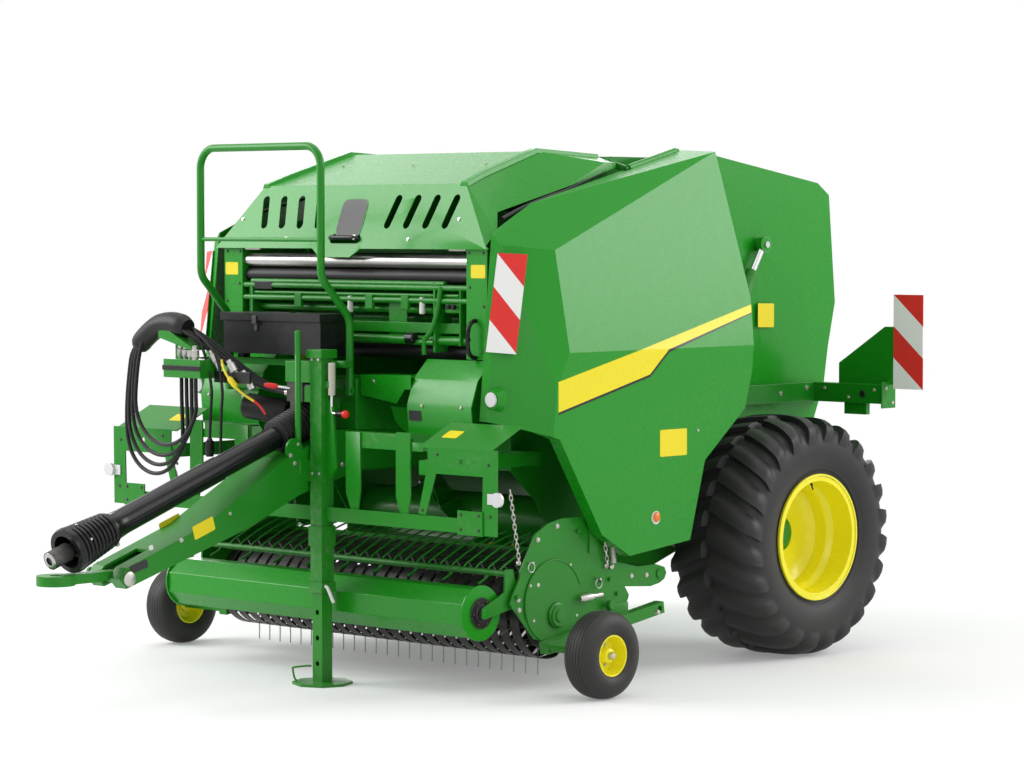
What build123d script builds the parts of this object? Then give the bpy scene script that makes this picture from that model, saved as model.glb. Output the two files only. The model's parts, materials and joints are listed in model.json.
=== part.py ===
from build123d import *
import os
from math import atan2, ceil, cos, pi, radians, sin, tan

# Round baler on two wheels, towed by a drawbar. Millimetres.
# +X is the machine's left, -Y its front, +Z up, and Z = 0 is the ground it stands on.

os.makedirs("parts", exist_ok=True)

# ---- wheels and axle
axle_y = 1353.0
tyre_r = 548.0
tyre_width = 505.0
wheel_x = 960.0              # middle of the tyre
carcass_r = 520.0            # tyre between its lugs
lug_count = 24               # each side
lug_width = 72.0
lug_sweep = 142.0            # how far a lug's outer end trails its inner end
seat_r = 262.0               # bead seat
rim_r = 288.0
rim_width = 460.0
flange_t = 14.0
disc_offset = 4.0            # rim disc, inboard or outboard of the tyre's middle
disc_t = 12.0
hub_r = 118.0
cap_r = 48.0
cap_reach = 34.0
stub_r = 35.0
beam_size = 120.0
beam_half = 636.0
running_gap = 0.05
seat_gap = 0.3

# ---- chamber
wall_in = 626.0              # inner face of the fixed side walls
wall_t = 8.0
chamber_y = 1360.0
chamber_z = 1430.0
roller_ring_r = 665.0
roller_r = 80.0
roller_wall = 5.0
roller_shaft_r = 22.0
end_gap = 6.0
roof_z = 2262.0
sheet = 5.0

# ---- tailgate
hinge_y = 1235.0
hinge_z = 2270.0
hinge_pin_r = 15.0
ear_r = 26.0
tail_wall_in = 640.0
tail_wall_t = 10.0
split_gap = 15.0
cyl_r = 30.0
rod_r = 16.0
cyl_x = 688.0
cyl_eye_t = 36.0
cyl_base = (1100.0, 1160.0)
lug_reach = 520.0
lug_angle = -50.0

# ---- hood and doors
skin = 4.0
hood_hinge_y = 525.0
hood_hinge_z = 2256.0
door_x = 1050.0

# ---- drawbar, hitch and drive
drawbar_half = 105.0
drawbar_plate = 12.0
eye_z = 540.0
eye_y = -2092.0
eye_pivot_y = -1812.0
eye_bore_r = 25.0
pto_y0 = -2070.0
pto_z0 = 637.0
pto_slope = 0.358

# ---- jack
jack_x = 156.0
jack_y = -770.0
jack_tube = 70.0
jack_wall = 5.0
jack_inner = jack_tube - 2 * jack_wall - 2 * seat_gap
jack_top = 1425.0
jack_low = 395.0
crank_x = 218.0

# ---- pick-up
pick_y = -185.0
pick_z = 312.0
tine_tip_r = 262.0
tine_ring_r = 130.0
tine_bar_r = 14.0
tine_size = 6.0
pick_half = 965.0            # inner face of the side plates
pick_plate_t = 10.0
band_pitch = 70.0
band_width = 50.0
band_count = 27
band_r = 190.0
band_t = 4.0
pick_hinge_y = 490.0
pick_hinge_z = 436.0
drum_y = -598.0
drum_z = 352.0
drum_r = 112.0
drum_half = pick_half - 35
guard_pivot_y = 60.0
guard_pivot_z = 470.0
guard_pin_r = 12.0
gauge_x = 1318.0
gauge_y = -279.0
gauge_r = 184.0
gauge_width = 150.0

# ---- feed rotor
rotor_y = 330.0
rotor_z = 640.0
rotor_r = 232.0


def plate(points, x0, x1, mode=Mode.ADD):
    # prism of a side outline given as (y, z) points
    with BuildSketch(Plane.YZ.offset(x0)) as outline:
        with BuildLine():
            Polyline(*points, close=True)
        make_face()
    extrude(outline.sketch, amount=x1 - x0, mode=mode)


def panel(points, y0, y1, mode=Mode.ADD):
    # prism of a front outline given as (x, z) points
    with BuildSketch(Plane(origin=(0, y1, 0), x_dir=(1, 0, 0), z_dir=(0, -1, 0))) as outline:
        with BuildLine():
            Polyline(*points, close=True)
        make_face()
    extrude(outline.sketch, amount=y1 - y0, mode=mode)


def drum(y, z, radius, x0, x1, mode=Mode.ADD):
    # round bar or hole along X
    with BuildSketch(Plane.YZ.offset(x0)) as circle:
        with Locations((y, z)):
            Circle(radius)
    extrude(circle.sketch, amount=x1 - x0, mode=mode)


def roller(y, z, radius, half, shaft_half):
    # steel tube closed by end plates, with a stub shaft at each end
    drum(y, z, radius, -half, half)
    drum(y, z, radius - roller_wall, -half + roller_wall, half - roller_wall, mode=Mode.SUBTRACT)
    drum(y, z, roller_shaft_r, -shaft_half, -half + roller_wall)
    drum(y, z, roller_shaft_r, half - roller_wall, shaft_half)


def block(x0, x1, y0, y1, z0, z1, mode=Mode.ADD):
    # box given by its limits
    with BuildSketch(Plane.XY.offset(z0)) as base:
        with Locations(((x0 + x1) / 2, (y0 + y1) / 2)):
            Rectangle(x1 - x0, y1 - y0)
    extrude(base.sketch, amount=z1 - z0, mode=mode)


def strut(start, end, across, along=None, mode=Mode.ADD):
    # straight bar between two points: round if only a radius is given, else a flat bar
    first = Vector(*start)
    last = Vector(*end)
    run = last - first
    flat = Vector(1, 0, 0) if abs(run.X) < 0.9 * run.length else Vector(0, 1, 0)
    side = run.cross(flat).cross(run).normalized()
    with BuildSketch(Plane(origin=first, x_dir=side, z_dir=run.normalized())) as section:
        if along is None:
            Circle(across)
        else:
            Rectangle(across, along)
    extrude(section.sketch, amount=run.length, mode=mode)


def facet(p, q, r, inside, inset=0.0):
    # plane through three points, facing away from the inside point and moved in by the inset
    normal = (Vector(*q) - Vector(*p)).cross(Vector(*r) - Vector(*p)).normalized()
    if normal.dot(Vector(*inside) - Vector(*p)) > 0:
        normal = normal * -1
    return Plane(origin=Vector(*p) - normal * inset, z_dir=normal)


def faceted(corner_low, corner_high, facets, inside, inset=0.0):
    # block between two corners, cut back to a table of facets
    with BuildPart() as body:
        block(corner_low[0], corner_high[0], corner_low[1], corner_high[1],
              corner_low[2], corner_high[2])
        for p, q, r in facets:
            split(bisect_by=facet(p, q, r, inside, inset), keep=Keep.BOTTOM)
    return body.part


def save(part, label):
    part.label = label
    export_step(part, "parts/" + label + ".step")
    print(label, len(part.solids()), round(part.volume / 1e6, 2))


def mirrored(part):
    return part.mirror(Plane.YZ)


# ---- main wheels: tyre, rim and hub on each stub axle
rim_out = wheel_x + rim_width / 2
rim_in = wheel_x - rim_width / 2
tyre_half = tyre_width / 2
disc_x = wheel_x + disc_offset

bead_half = rim_width / 2 - flange_t - 0.5
with BuildPart() as tyre:
    with BuildSketch(Plane.XZ) as section:
        with BuildLine():
            Polyline(*[(wheel_x + x, r) for x, r in (
                (-bead_half, seat_r + seat_gap), (-bead_half, rim_r + 4), (-tyre_half + 6, rim_r + 90),
                (-tyre_half, rim_r + 150), (-tyre_half + 6, carcass_r - 40),
                (-tyre_half + 34, carcass_r - 8), (-tyre_half + 100, carcass_r),
                (tyre_half - 100, carcass_r), (tyre_half - 34, carcass_r - 8),
                (tyre_half - 6, carcass_r - 40), (tyre_half, rim_r + 150),
                (tyre_half - 6, rim_r + 90), (bead_half, rim_r + 4),
                (bead_half, seat_r + seat_gap))], close=True)
        make_face()
    revolve(axis=Axis.X)
with BuildPart() as lug_zone:
    with BuildSketch(Plane.XZ) as section:
        with BuildLine():
            Polyline((wheel_x + 4, carcass_r - 22), (wheel_x + 4, tyre_r),
                     (wheel_x + tyre_half - 80, tyre_r - 2),
                     (wheel_x + tyre_half - 16, tyre_r - 14),
                     (wheel_x + tyre_half, carcass_r - 42),
                     (wheel_x + tyre_half - 8, carcass_r - 52), close=True)
        make_face()
    revolve(axis=Axis.X)
with BuildPart() as lug_row:
    for index in range(lug_count):
        turn = radians(360 / lug_count * index)
        with BuildSketch(Plane(origin=(wheel_x, (carcass_r - 60) * cos(turn),
                                       (carcass_r - 60) * sin(turn)),
                               x_dir=(1, 0, 0), z_dir=(0, cos(turn), sin(turn)))) as lug:
            with BuildLine():
                Polyline((0, lug_width), (90, lug_width - 40), (tyre_half + 2, -lug_sweep + lug_width),
                         (tyre_half + 2, -lug_sweep), (90, -46), (0, 6), close=True)
            make_face()
        extrude(lug.sketch, amount=120)
    add(lug_zone.part, mode=Mode.INTERSECT)
with BuildPart() as treaded:
    add(tyre.part)
    add(lug_row.part)
    with Locations(Location((2 * wheel_x, 0, 0), (180 / lug_count, 0, 0))):
        add(lug_row.part.mirror(Plane.YZ))

with BuildPart() as rim:
    with BuildSketch(Plane.XZ) as section:
        with BuildLine():
            Polyline(
                (rim_in, rim_r),
                (rim_in + flange_t, rim_r),
                (rim_in + flange_t, seat_r),
                (rim_in + 70, seat_r),
                (rim_in + 90, seat_r - 24),
                (rim_out - 140, seat_r - 24),
                (rim_out - 110, seat_r),
                (rim_out - flange_t, seat_r),
                (rim_out - flange_t, rim_r),
                (rim_out, rim_r),
                (rim_out, rim_r - 10),
                (rim_out - 6, rim_r - 12),
                (rim_out - 6, seat_r - 8),
                (rim_out - 112, seat_r - 8),
                (rim_out - 138, seat_r - 32),
                (disc_x + 26, seat_r - 32),
                (disc_x, 168),
                (disc_x, 82),
                (disc_x - disc_t, 82),
                (disc_x - disc_t, 176),
                (disc_x + 12, seat_r - 32),
                (rim_in + 88, seat_r - 32),
                (rim_in + 66, seat_r - 8),
                (rim_in + 6, seat_r - 8),
                (rim_in + 6, rim_r - 12),
                (rim_in, rim_r - 10),
                close=True)
        make_face()
    revolve(axis=Axis.X)

with BuildPart() as hub:
    with BuildSketch(Plane.XZ) as section:
        with BuildLine():
            Polyline(
                (disc_x - disc_t - 130, stub_r + running_gap),
                (disc_x - disc_t - 130, 70),
                (disc_x - disc_t - 20, 80),
                (disc_x - disc_t - 20, hub_r),
                (disc_x - disc_t - 0.3, hub_r),
                (disc_x - disc_t - 0.3, 80),
                (disc_x + 6, 80),
                (disc_x + 10, cap_r + 4),
                (disc_x + cap_reach - 6, cap_r),
                (disc_x + cap_reach, cap_r - 12),
                (disc_x + cap_reach, 0),
                (disc_x + cap_reach - 8, 0),
                (disc_x + cap_reach - 12, stub_r + running_gap),
                close=True)
        make_face()
    revolve(axis=Axis.X)

for side, flip in (("left", False), ("right", True)):
    for piece, label in ((treaded, "tyre"), (rim, "rim"), (hub, "hub")):
        placed = piece.part.moved(Location((0, axle_y, tyre_r)))
        save(mirrored(placed) if flip else placed, label + "_" + side)

# ---- axle: square beam, brackets under the walls, stub axles
stub_end = disc_x + cap_reach - 13
with BuildPart() as axle:
    block(-beam_half, beam_half, axle_y - beam_size / 2, axle_y + beam_size / 2,
          tyre_r - beam_size / 2, tyre_r + beam_size / 2)
    drum(axle_y, tyre_r, 52, beam_half, disc_x - disc_t - 131)
    drum(axle_y, tyre_r, stub_r, beam_half, stub_end)
    drum(axle_y, tyre_r, 52, -disc_x + disc_t + 131, -beam_half)
    drum(axle_y, tyre_r, stub_r, -stub_end, -beam_half)
save(axle.part, "axle")

# ---- fixed side walls of the front half of the chamber
wall_out = wall_in + wall_t
wall_foot = tyre_r + beam_size / 2
split_top = (hinge_y - 10, roof_z)
split_low = (axle_y + beam_size / 2 - 10, wall_foot)
lug_y = hinge_y + lug_reach * cos(radians(lug_angle))
lug_z = hinge_z + lug_reach * sin(radians(lug_angle))
with BuildPart() as walls:
    plate([(-100, 900), (-100, 1870), (60, 2150), (200, 2218), (508, 2234), (514, roof_z),
           split_top, split_low, (1230, wall_foot), (1100, 500), (560, 330), (190, 390),
           (140, 480), (140, 640), (60, 760)], wall_in, wall_out)
    drum(hinge_y, hinge_z, ear_r, wall_in, wall_out)
    mirror(about=Plane.YZ)
save(walls.part, "side_walls")
with BuildPart() as wall_pins:
    drum(hinge_y, hinge_z, hinge_pin_r, wall_out, tail_wall_in + tail_wall_t + 1)
    drum(hinge_y, hinge_z, hinge_pin_r + 8, tail_wall_in + tail_wall_t + 0.5,
         tail_wall_in + tail_wall_t + 8)
    drum(cyl_base[0], cyl_base[1], 34, wall_out, cyl_x - cyl_eye_t / 2 - 1)
    drum(cyl_base[0], cyl_base[1], hinge_pin_r, wall_out, cyl_x + cyl_eye_t / 2 + 8)
    mirror(about=Plane.YZ)

# ---- cross members that join the two walls, welded from plate
cross_wall = 8.0
with BuildPart() as cross:
    for y0, y1, z0, z1 in ((-100, 0, 900, 1080), (1150, axle_y - beam_size / 2, 505, 605),
                           (-90, -20, 1780, 1860), (600, 700, 352, 440)):
        block(-wall_in, wall_in, y0, y1, z0, z1)
        block(-wall_in, wall_in, y0 + cross_wall, y1 - cross_wall, z0 + cross_wall,
              z1 - cross_wall, mode=Mode.SUBTRACT)
save(cross.part, "cross_members")

# ---- roof between the hood and the tailgate
with BuildPart() as roof:
    plate([(hood_hinge_y + 25, roof_z), (hood_hinge_y + 25, roof_z + sheet),
           (hinge_y - ear_r - 4, roof_z + sheet), (hinge_y - ear_r - 4, roof_z)],
          -wall_out, wall_out)
save(roof.part, "roof_panel")

# ---- rollers round the bale, fixed half and tailgate half
with BuildPart() as rollers:
    for angle in (112, 129, 146, 163, 180, 197):
        y = chamber_y + roller_ring_r * cos(radians(angle))
        z = chamber_z + roller_ring_r * sin(radians(angle))
        roller(y, z, roller_r, wall_in - end_gap, wall_in)
save(rollers.part, "chamber_rollers")

# ---- tailgate: side walls, wrap sheet and rollers
tail_out = tail_wall_in + tail_wall_t
tail_front_top = (split_top[0] + split_gap, hinge_z + 15)
tail_front_low = (split_low[0] + split_gap, 668)
tail_outline = [tail_front_top, (2031, 2163), (2119, 2106), (2170, 1592), (2118, 1388),
                (2084, 1200), (1990, 1000), (1838, 835), (1644, 705), tail_front_low]
with BuildPart() as tailgate:
    plate(tail_outline, -tail_out, tail_out)
    with BuildSketch(Plane.YZ.offset(-tail_wall_in)) as core:
        with BuildLine():
            Polyline(*tail_outline, close=True)
        make_face()
        offset(amount=-sheet, kind=Kind.INTERSECTION)
    extrude(core.sketch, amount=2 * tail_wall_in, mode=Mode.SUBTRACT)
    # the front is open to the fixed half
    plate([(tail_front_top[0] - 40, tail_front_top[1] + 40), (tail_front_low[0] - 40, 668 + sheet),
           (tail_front_low[0] + 60, 668 + sheet), (hinge_y + ear_r + 7, hinge_z - 40),
           (hinge_y + ear_r + 7, tail_front_top[1] + 40)],
          -tail_wall_in, tail_wall_in, mode=Mode.SUBTRACT)
    for x0, x1 in ((tail_wall_in, tail_out), (-tail_out, -tail_wall_in)):
        drum(hinge_y, hinge_z, ear_r, x0, x1)
        drum(hinge_y, hinge_z, hinge_pin_r + running_gap, x0, x1, mode=Mode.SUBTRACT)
    drum(lug_y, lug_z, 32, tail_out, cyl_x - cyl_eye_t / 2 - 6)
    drum(lug_y, lug_z, 32, -cyl_x + cyl_eye_t / 2 + 6, -tail_out)
save(tailgate.part, "tailgate")

with BuildPart() as tail_rollers:
    for angle in (-68, -51, -34, -17, 0, 17, 34, 51, 68):
        y = chamber_y + roller_ring_r * cos(radians(angle))
        z = chamber_z + roller_ring_r * sin(radians(angle))
        roller(y, z, roller_r, tail_wall_in - end_gap, tail_wall_in)
save(tail_rollers.part, "tailgate_rollers")

# ---- tailgate cylinders: barrel on the wall, rod eye beside the tailgate's lug
cyl_run = Vector(0, lug_y - cyl_base[0], lug_z - cyl_base[1])
cyl_length = cyl_run.length
barrel_length = cyl_length - 150
cyl_plane = Plane(origin=(cyl_x, cyl_base[0], cyl_base[1]), x_dir=(1, 0, 0),
                  z_dir=cyl_run.normalized())
with BuildPart() as barrel:
    with BuildSketch(cyl_plane.offset(38)) as tube:
        Circle(cyl_r)
    extrude(tube.sketch, amount=barrel_length - 38)
    drum(cyl_base[0], cyl_base[1], 40, cyl_x - cyl_eye_t / 2, cyl_x + cyl_eye_t / 2)
    drum(cyl_base[0], cyl_base[1], hinge_pin_r + running_gap, cyl_x - cyl_eye_t / 2,
         cyl_x + cyl_eye_t / 2, mode=Mode.SUBTRACT)
    with BuildSketch(cyl_plane.offset(90)) as bore:
        Circle(rod_r + running_gap)
    extrude(bore.sketch, amount=barrel_length, mode=Mode.SUBTRACT)
with BuildPart() as rod:
    with BuildSketch(cyl_plane.offset(100)) as bar:
        Circle(rod_r)
    extrude(bar.sketch, amount=cyl_length - 100 - 30)
    drum(lug_y, lug_z, 36, cyl_x - cyl_eye_t / 2, cyl_x + cyl_eye_t / 2)
    drum(lug_y, lug_z, hinge_pin_r, cyl_x - cyl_eye_t / 2 - 5.7, cyl_x + cyl_eye_t / 2 + 10)
for side, flip in (("left", False), ("right", True)):
    save(mirrored(barrel.part) if flip else barrel.part, "cylinder_barrel_" + side)
    save(mirrored(rod.part) if flip else rod.part, "cylinder_rod_" + side)

# ---- hood: faceted skin over the net box, hinged at its rear edge
hood_low = (834, -470, 1875)
hood_crease = (627, -369, 2138)
hood_ridge = (591, 106, 2284)
hood_rear = (600, 525, 2262)
cheek_mid = (815, -324, 2017)
cheek_rear = (760, 134, 2131)
cheek_end = (700, 525, 2237)


def opposite(point):
    return (-point[0], point[1], point[2])


hood_side = [(hood_crease, hood_low, cheek_mid), (hood_crease, hood_ridge, cheek_rear),
             (hood_ridge, hood_rear, cheek_end)]
hood_facets = [(hood_low, opposite(hood_low), hood_crease),
               (hood_crease, opposite(hood_crease), hood_ridge),
               (hood_ridge, opposite(hood_ridge), hood_rear)]
hood_side.append((cheek_rear, cheek_end, (cheek_rear[0], cheek_rear[1], hood_ridge[2])))
hood_facets += hood_side + [tuple(opposite(p) for p in trio) for trio in hood_side]
hood_inside = (0, 0, 2000)
hood_front = facet(hood_low, opposite(hood_low), hood_crease, hood_inside)
front_slope = atan2(hood_crease[2] - hood_low[2], hood_crease[1] - hood_low[1])
slot_pitch = 116.0
slot_first = 232.0
slot_width = 40.0
slot_length = 160.0
slot_lean = 14.0
with BuildPart() as hood:
    add(faceted((-900, -480, 1860), (900, hood_hinge_y - 20, 2300), hood_facets, hood_inside))
    add(faceted((-900, -480, 1800), (900, 600, 2300), hood_facets, hood_inside, skin),
        mode=Mode.SUBTRACT)
    plate([(-470 + 2, 1500), (-470 + 2, hood_low[2]), (-380, 1955), (cheek_mid[1], cheek_mid[2]),
           (cheek_rear[1], cheek_rear[2]), (600, 2237), (600, 1500)], -900, 900,
          mode=Mode.SUBTRACT)
    slot_plane = Plane(origin=(0, hood_low[1], hood_low[2]), x_dir=(1, 0, 0),
                       z_dir=(0, -sin(front_slope), cos(front_slope)))
    for side in (1, -1):
        for index in range(4):
            with BuildSketch(slot_plane) as slot:
                with Locations((side * (slot_first + index * slot_pitch), 155)):
                    SlotOverall(slot_length, slot_width, rotation=90 - side * slot_lean)
            extrude(slot.sketch, amount=20, both=True, mode=Mode.SUBTRACT)
    # tab below the front edge, with the handle's recess above it
    with BuildSketch(slot_plane) as tab:
        with BuildLine():
            Polyline((-245, 8), (125, 8), (35, -56), (-155, -56), close=True)
        make_face()
    extrude(tab.sketch, amount=-skin)
    with BuildSketch(slot_plane) as recess:
        with Locations((-20, 30)):
            SlotOverall(190, 44)
    extrude(recess.sketch, amount=20, both=True, mode=Mode.SUBTRACT)
    # hinge straps with their bores at the rear edge
    for x in (-420, 420):
        block(x - 40, x + 40, hood_hinge_y - 60, hood_hinge_y - 5, hood_hinge_z - 6,
              hood_hinge_z + 3)
        drum(hood_hinge_y, hood_hinge_z, 14, x - 40, x + 40)
        drum(hood_hinge_y, hood_hinge_z, 8 + running_gap, x - 40, x + 40, mode=Mode.SUBTRACT)
save(hood.part, "hood")

# ---- side doors: faceted skins hinged along their upper inner edge
door_crease_low = (door_x, -274, 1159)
door_crease_top = (975, -192, 1857)
door_apex = (900, 948, 2289)
door_brow = (892, -442, 1888)
door_front_low = (892, -522, 1159)
door_edge_front = (815, -192, 2050)
door_edge_rear = (680, 980, 2307)
door_facets = [
    ((door_x, 0, 600), (door_x, 500, 600), (door_x, 0, 1400)),
    ((door_x, 0, 1425), (door_x, 500, 1425), (900, 0, 2289)),
    (door_front_low, door_brow, door_crease_low),
    (door_crease_top, door_brow, (door_x, -274, 1250)),
    ((830, -540, 1159), door_front_low, door_brow),
    (door_brow, (840, -370, 1965), door_edge_front),
    (door_edge_front, door_edge_rear, door_apex),
    (door_edge_front, door_crease_top, door_apex),
]
door_inner = [((840, -370, 1000), (680, 980, 1000), (840, -370, 1500))]
door_outline = [(-620, 1165), (-430, 1120), (-243, 1062), (24, 643), (207, 539), (609, 580),
                (710, 926), (989, 1144), (1038, 1304), (1072, 1640), (950, 2330), (-620, 2330)]
door_inside = (860, 300, 1500)
door_flange = 60.0
door_axis = (Vector(*door_edge_rear) - Vector(*door_edge_front)).normalized()


def on_door_edge(y):
    share = (y - door_edge_front[1]) / (door_edge_rear[1] - door_edge_front[1])
    return Vector(*door_edge_front) + (Vector(*door_edge_rear) - Vector(*door_edge_front)) * share


knuckle_r = 15.0
door_pin_r = 8.0
hinge_front_y = 560.0
hinge_rear_y = 930.0
with BuildPart() as door:
    add(faceted((600, -600, 500), (1100, 1100, 2340), door_facets + door_inner, door_inside))
    plate(door_outline, 500, 1100, mode=Mode.INTERSECT)
    add(faceted((500, -600, 400), (1100, 1200, 2340), door_facets, door_inside, skin),
        mode=Mode.SUBTRACT)
with BuildPart() as flange:
    add(faceted((600, -600, 500), (1100, 1100, 2340), door_facets + door_inner, door_inside,
                skin / 2))
    with BuildSketch(Plane.YZ.offset(door_x - door_flange)) as ring:
        with BuildLine():
            Polyline(*door_outline, close=True)
        make_face()
        offset(amount=-skin, kind=Kind.INTERSECTION, mode=Mode.SUBTRACT)
    extrude(ring.sketch, amount=200, mode=Mode.INTERSECT)
with BuildPart() as side_door:
    add(door.part)
    add(flange.part)
    tube_start = on_door_edge(hinge_front_y)
    tube_end = on_door_edge(hinge_rear_y)
    strut(tube_start, tube_end, knuckle_r)
    strut(tube_start - door_axis * 60, tube_end + door_axis * 60, door_pin_r + running_gap,
          mode=Mode.SUBTRACT)
    strut(tube_start - door_axis * 60, tube_start - door_axis * 6, 30, mode=Mode.SUBTRACT)
save(side_door.part, "side_door_left")
save(mirrored(side_door.part), "side_door_right")

# ---- hinge pins of the doors and of the hood, on arms from the walls and the roof
with BuildPart() as hinges:
    pin_start = on_door_edge(hinge_front_y - 22)
    pin_end = on_door_edge(hinge_rear_y + 22)
    strut(pin_start, pin_end, door_pin_r)
    for end, y in ((pin_start, hinge_front_y - 22), (pin_end, hinge_rear_y + 22)):
        strut((wall_out - 10, y, roof_z - 20), (end.X, end.Y, end.Z), 16, 30)
    # the arms end flat against the wall
    block(wall_in - 20, wall_out, hinge_front_y - 60, hinge_rear_y + 60, roof_z - 60, roof_z + 40,
          mode=Mode.SUBTRACT)
    mirror(about=Plane.YZ)
    for x in (-420, 420):
        drum(hood_hinge_y, hood_hinge_z, 8, x - 60, x + 60)
        for x0 in (x - 60, x + 48):
            block(x0, x0 + 12, hood_hinge_y - 12, hood_hinge_y + 60, hood_hinge_z - 12,
                  roof_z)

# ---- front plates either side of the net box
mouth_x = 700.0
front_y = -446.0
with BuildPart() as front_plates:
    block(mouth_x, 822, front_y, front_y + 6, 1395, 1868)
    block(mouth_x, mouth_x + 6, front_y + 6, -60, 1395, 1868)
    block(wall_out, mouth_x, -66, -60, 1395, 1868)
    mirror(about=Plane.YZ)
save(front_plates.part, "front_plates")

# ---- curved covers below the front plates
cover_outline = [(-446, 1392), (-530, 1310), (-570, 1200), (-560, 1080), (-500, 1000)]
with BuildPart() as covers:
    plate(cover_outline + [(y + 6, z - 1) for y, z in reversed(cover_outline)], 470, 845)
    plate([(-446, 1386), (-380, 1386), (-100, 1300), (-100, 1120), (-494, 1001), (-553, 1080),
           (-563, 1200), (-523, 1309)], 470, 475)
    block(475, wall_out, -106, -100, 1180, 1300)
    mirror(about=Plane.YZ)
    # folded shroud beside the gearbox
    panel([(166, 1319), (470, 1324), (470, 1264), (433, 1264), (383, 1202), (166, 1232)], -548, -543)
    block(166, 470, -543, -360, 1314, 1319)
    panel([(300, 1187), (470, 1180), (470, 1060), (388, 1080), (330, 1120)], -500, -495)
save(covers.part, "front_covers")

# ---- net rollers and the tray tubes between the front plates
net_wall = 8.0
with BuildPart() as bright_roller:
    drum(-405, 1806, 30, -mouth_x, mouth_x)
save(bright_roller.part, "net_roller_bright")
with BuildPart() as dark_rollers:
    for y, z, radius in ((-400, 1742, 30), (-250, 1800, 40), (-150, 1720, 38), (-330, 1420, 36)):
        drum(y, z, radius, -mouth_x, mouth_x)
        drum(y, z, radius - net_wall, net_wall - mouth_x, mouth_x - net_wall,
             mode=Mode.SUBTRACT)
save(dark_rollers.part, "net_rollers_rubber")
with BuildPart() as net_tray:
    for y, z, radius in ((-430, 1695, 13), (-430, 1640, 13), (-380, 1600, 16), (-410, 1470, 20)):
        drum(y, z, radius, -mouth_x, mouth_x)
    plate([(-380, 1500), (-150, 1640), (-150, 1646), (-384, 1506)], -660, 660)
    for x in (-660, 654):
        plate([(-440, 1700), (-440, 1450), (-390, 1450), (-140, 1630), (-140, 1660)], x, x + 6)
save(net_tray.part, "net_tray")

# ---- drawbar: fish-bellied box from the front cross member to the eye's pivot
drawbar_top = [(-1812, 575), (-1400, 715), (-926, 972), (-640, 1080), (-100, 1080)]
drawbar_low = [(-100, 900), (-500, 900), (-846, 815), (-1150, 690), (-1500, 585), (-1812, 490)]
jack_out = jack_tube / 2
with BuildPart() as drawbar:
    plate(drawbar_top + drawbar_low + [(-1850, 532)], -drawbar_half, drawbar_half)
    with BuildSketch(Plane.YZ.offset(-drawbar_half + drawbar_plate)) as inside:
        with BuildLine():
            Polyline(*(drawbar_top + drawbar_low + [(-1850, 532)]), close=True)
        make_face()
        offset(amount=-drawbar_plate, kind=Kind.INTERSECTION)
    extrude(inside.sketch, amount=2 * (drawbar_half - drawbar_plate), mode=Mode.SUBTRACT)
    # mouth for the eye's shank
    block(-36, 36, -1870, -1640, 400, 700, mode=Mode.SUBTRACT)
    drum(eye_pivot_y, 532, 20 + running_gap, -drawbar_half, drawbar_half, mode=Mode.SUBTRACT)
    block(drawbar_half, jack_x - jack_out, jack_y - 35, jack_y + 35, 870, 960)
    # round bracket and the tall rod beside the shaft guard
    drum(jack_y - 110, 1010, 46, drawbar_half - drawbar_plate, drawbar_half)
    strut((drawbar_half - 16, jack_y - 75, 985), (drawbar_half - 16, jack_y - 75, 1512), 9)
save(drawbar.part, "drawbar")

# ---- tow eye: flat forged ring on a shank, held by one cross pin
with BuildPart() as eye:
    with BuildSketch(Plane.XY.offset(eye_z - 20)) as ring:
        with Locations((0, eye_y)):
            Circle(78)
        with BuildLine():
            Polyline((-35, eye_y + 60), (35, eye_y + 60), (35, -1700), (-35, -1700), close=True)
        make_face()
        with Locations((0, eye_y)):
            Circle(eye_bore_r, mode=Mode.SUBTRACT)
    extrude(ring.sketch, amount=40)
    drum(eye_pivot_y, 532, 20, -drawbar_half - 14, drawbar_half + 14)
    drum(eye_pivot_y, 532, 34, drawbar_half + 0.3, drawbar_half + 14)
    drum(eye_pivot_y, 532, 34, -drawbar_half - 14, -drawbar_half - 0.3)
save(eye.part, "tow_eye")

# ---- gearbox on the drawbar, drive shaft guard and the shaft's yoke
def on_shaft(y):
    return (0, y, pto_z0 + pto_slope * (y - pto_y0))


gearbox_y = -560.0
guard_r = 52.0
guard_wall = 4.0
shaft_end_r = 16.0
case_wall = 14.0
shaft_dir = Vector(0, 1, pto_slope).normalized()
with BuildPart() as gearbox:
    block(-150, 150, gearbox_y, -160, 1080, 1300)
    block(-150 + case_wall, 150 - case_wall, gearbox_y + case_wall, -160 - case_wall,
          1080 + case_wall, 1300 - case_wall, mode=Mode.SUBTRACT)
    strut(on_shaft(gearbox_y - 60), on_shaft(gearbox_y + 40), guard_r - guard_wall - seat_gap)
    strut(on_shaft(gearbox_y - 70), on_shaft(gearbox_y - 20), shaft_end_r + running_gap,
          mode=Mode.SUBTRACT)
save(gearbox.part, "gearbox")

with BuildPart() as guard:
    for y0, y1, radius in ((-2010, gearbox_y - 24, guard_r), (-2010, -1880, 78),
                           (-1990, -1900, 88), (gearbox_y - 80, gearbox_y - 24, guard_r + 10)):
        strut(on_shaft(y0), on_shaft(y1), radius)
    strut(on_shaft(-2100), on_shaft(gearbox_y), guard_r - guard_wall, mode=Mode.SUBTRACT)
save(guard.part, "shaft_guard")

with BuildPart() as shaft:
    strut(on_shaft(-2110), on_shaft(gearbox_y - 61), 22)
    strut(on_shaft(gearbox_y - 62), on_shaft(gearbox_y - 22), shaft_end_r)
    strut(on_shaft(-2120), on_shaft(-2030), 38)
    strut(on_shaft(-2120.5), on_shaft(-2060), 17.5, mode=Mode.SUBTRACT)
save(shaft.part, "drive_shaft")

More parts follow.
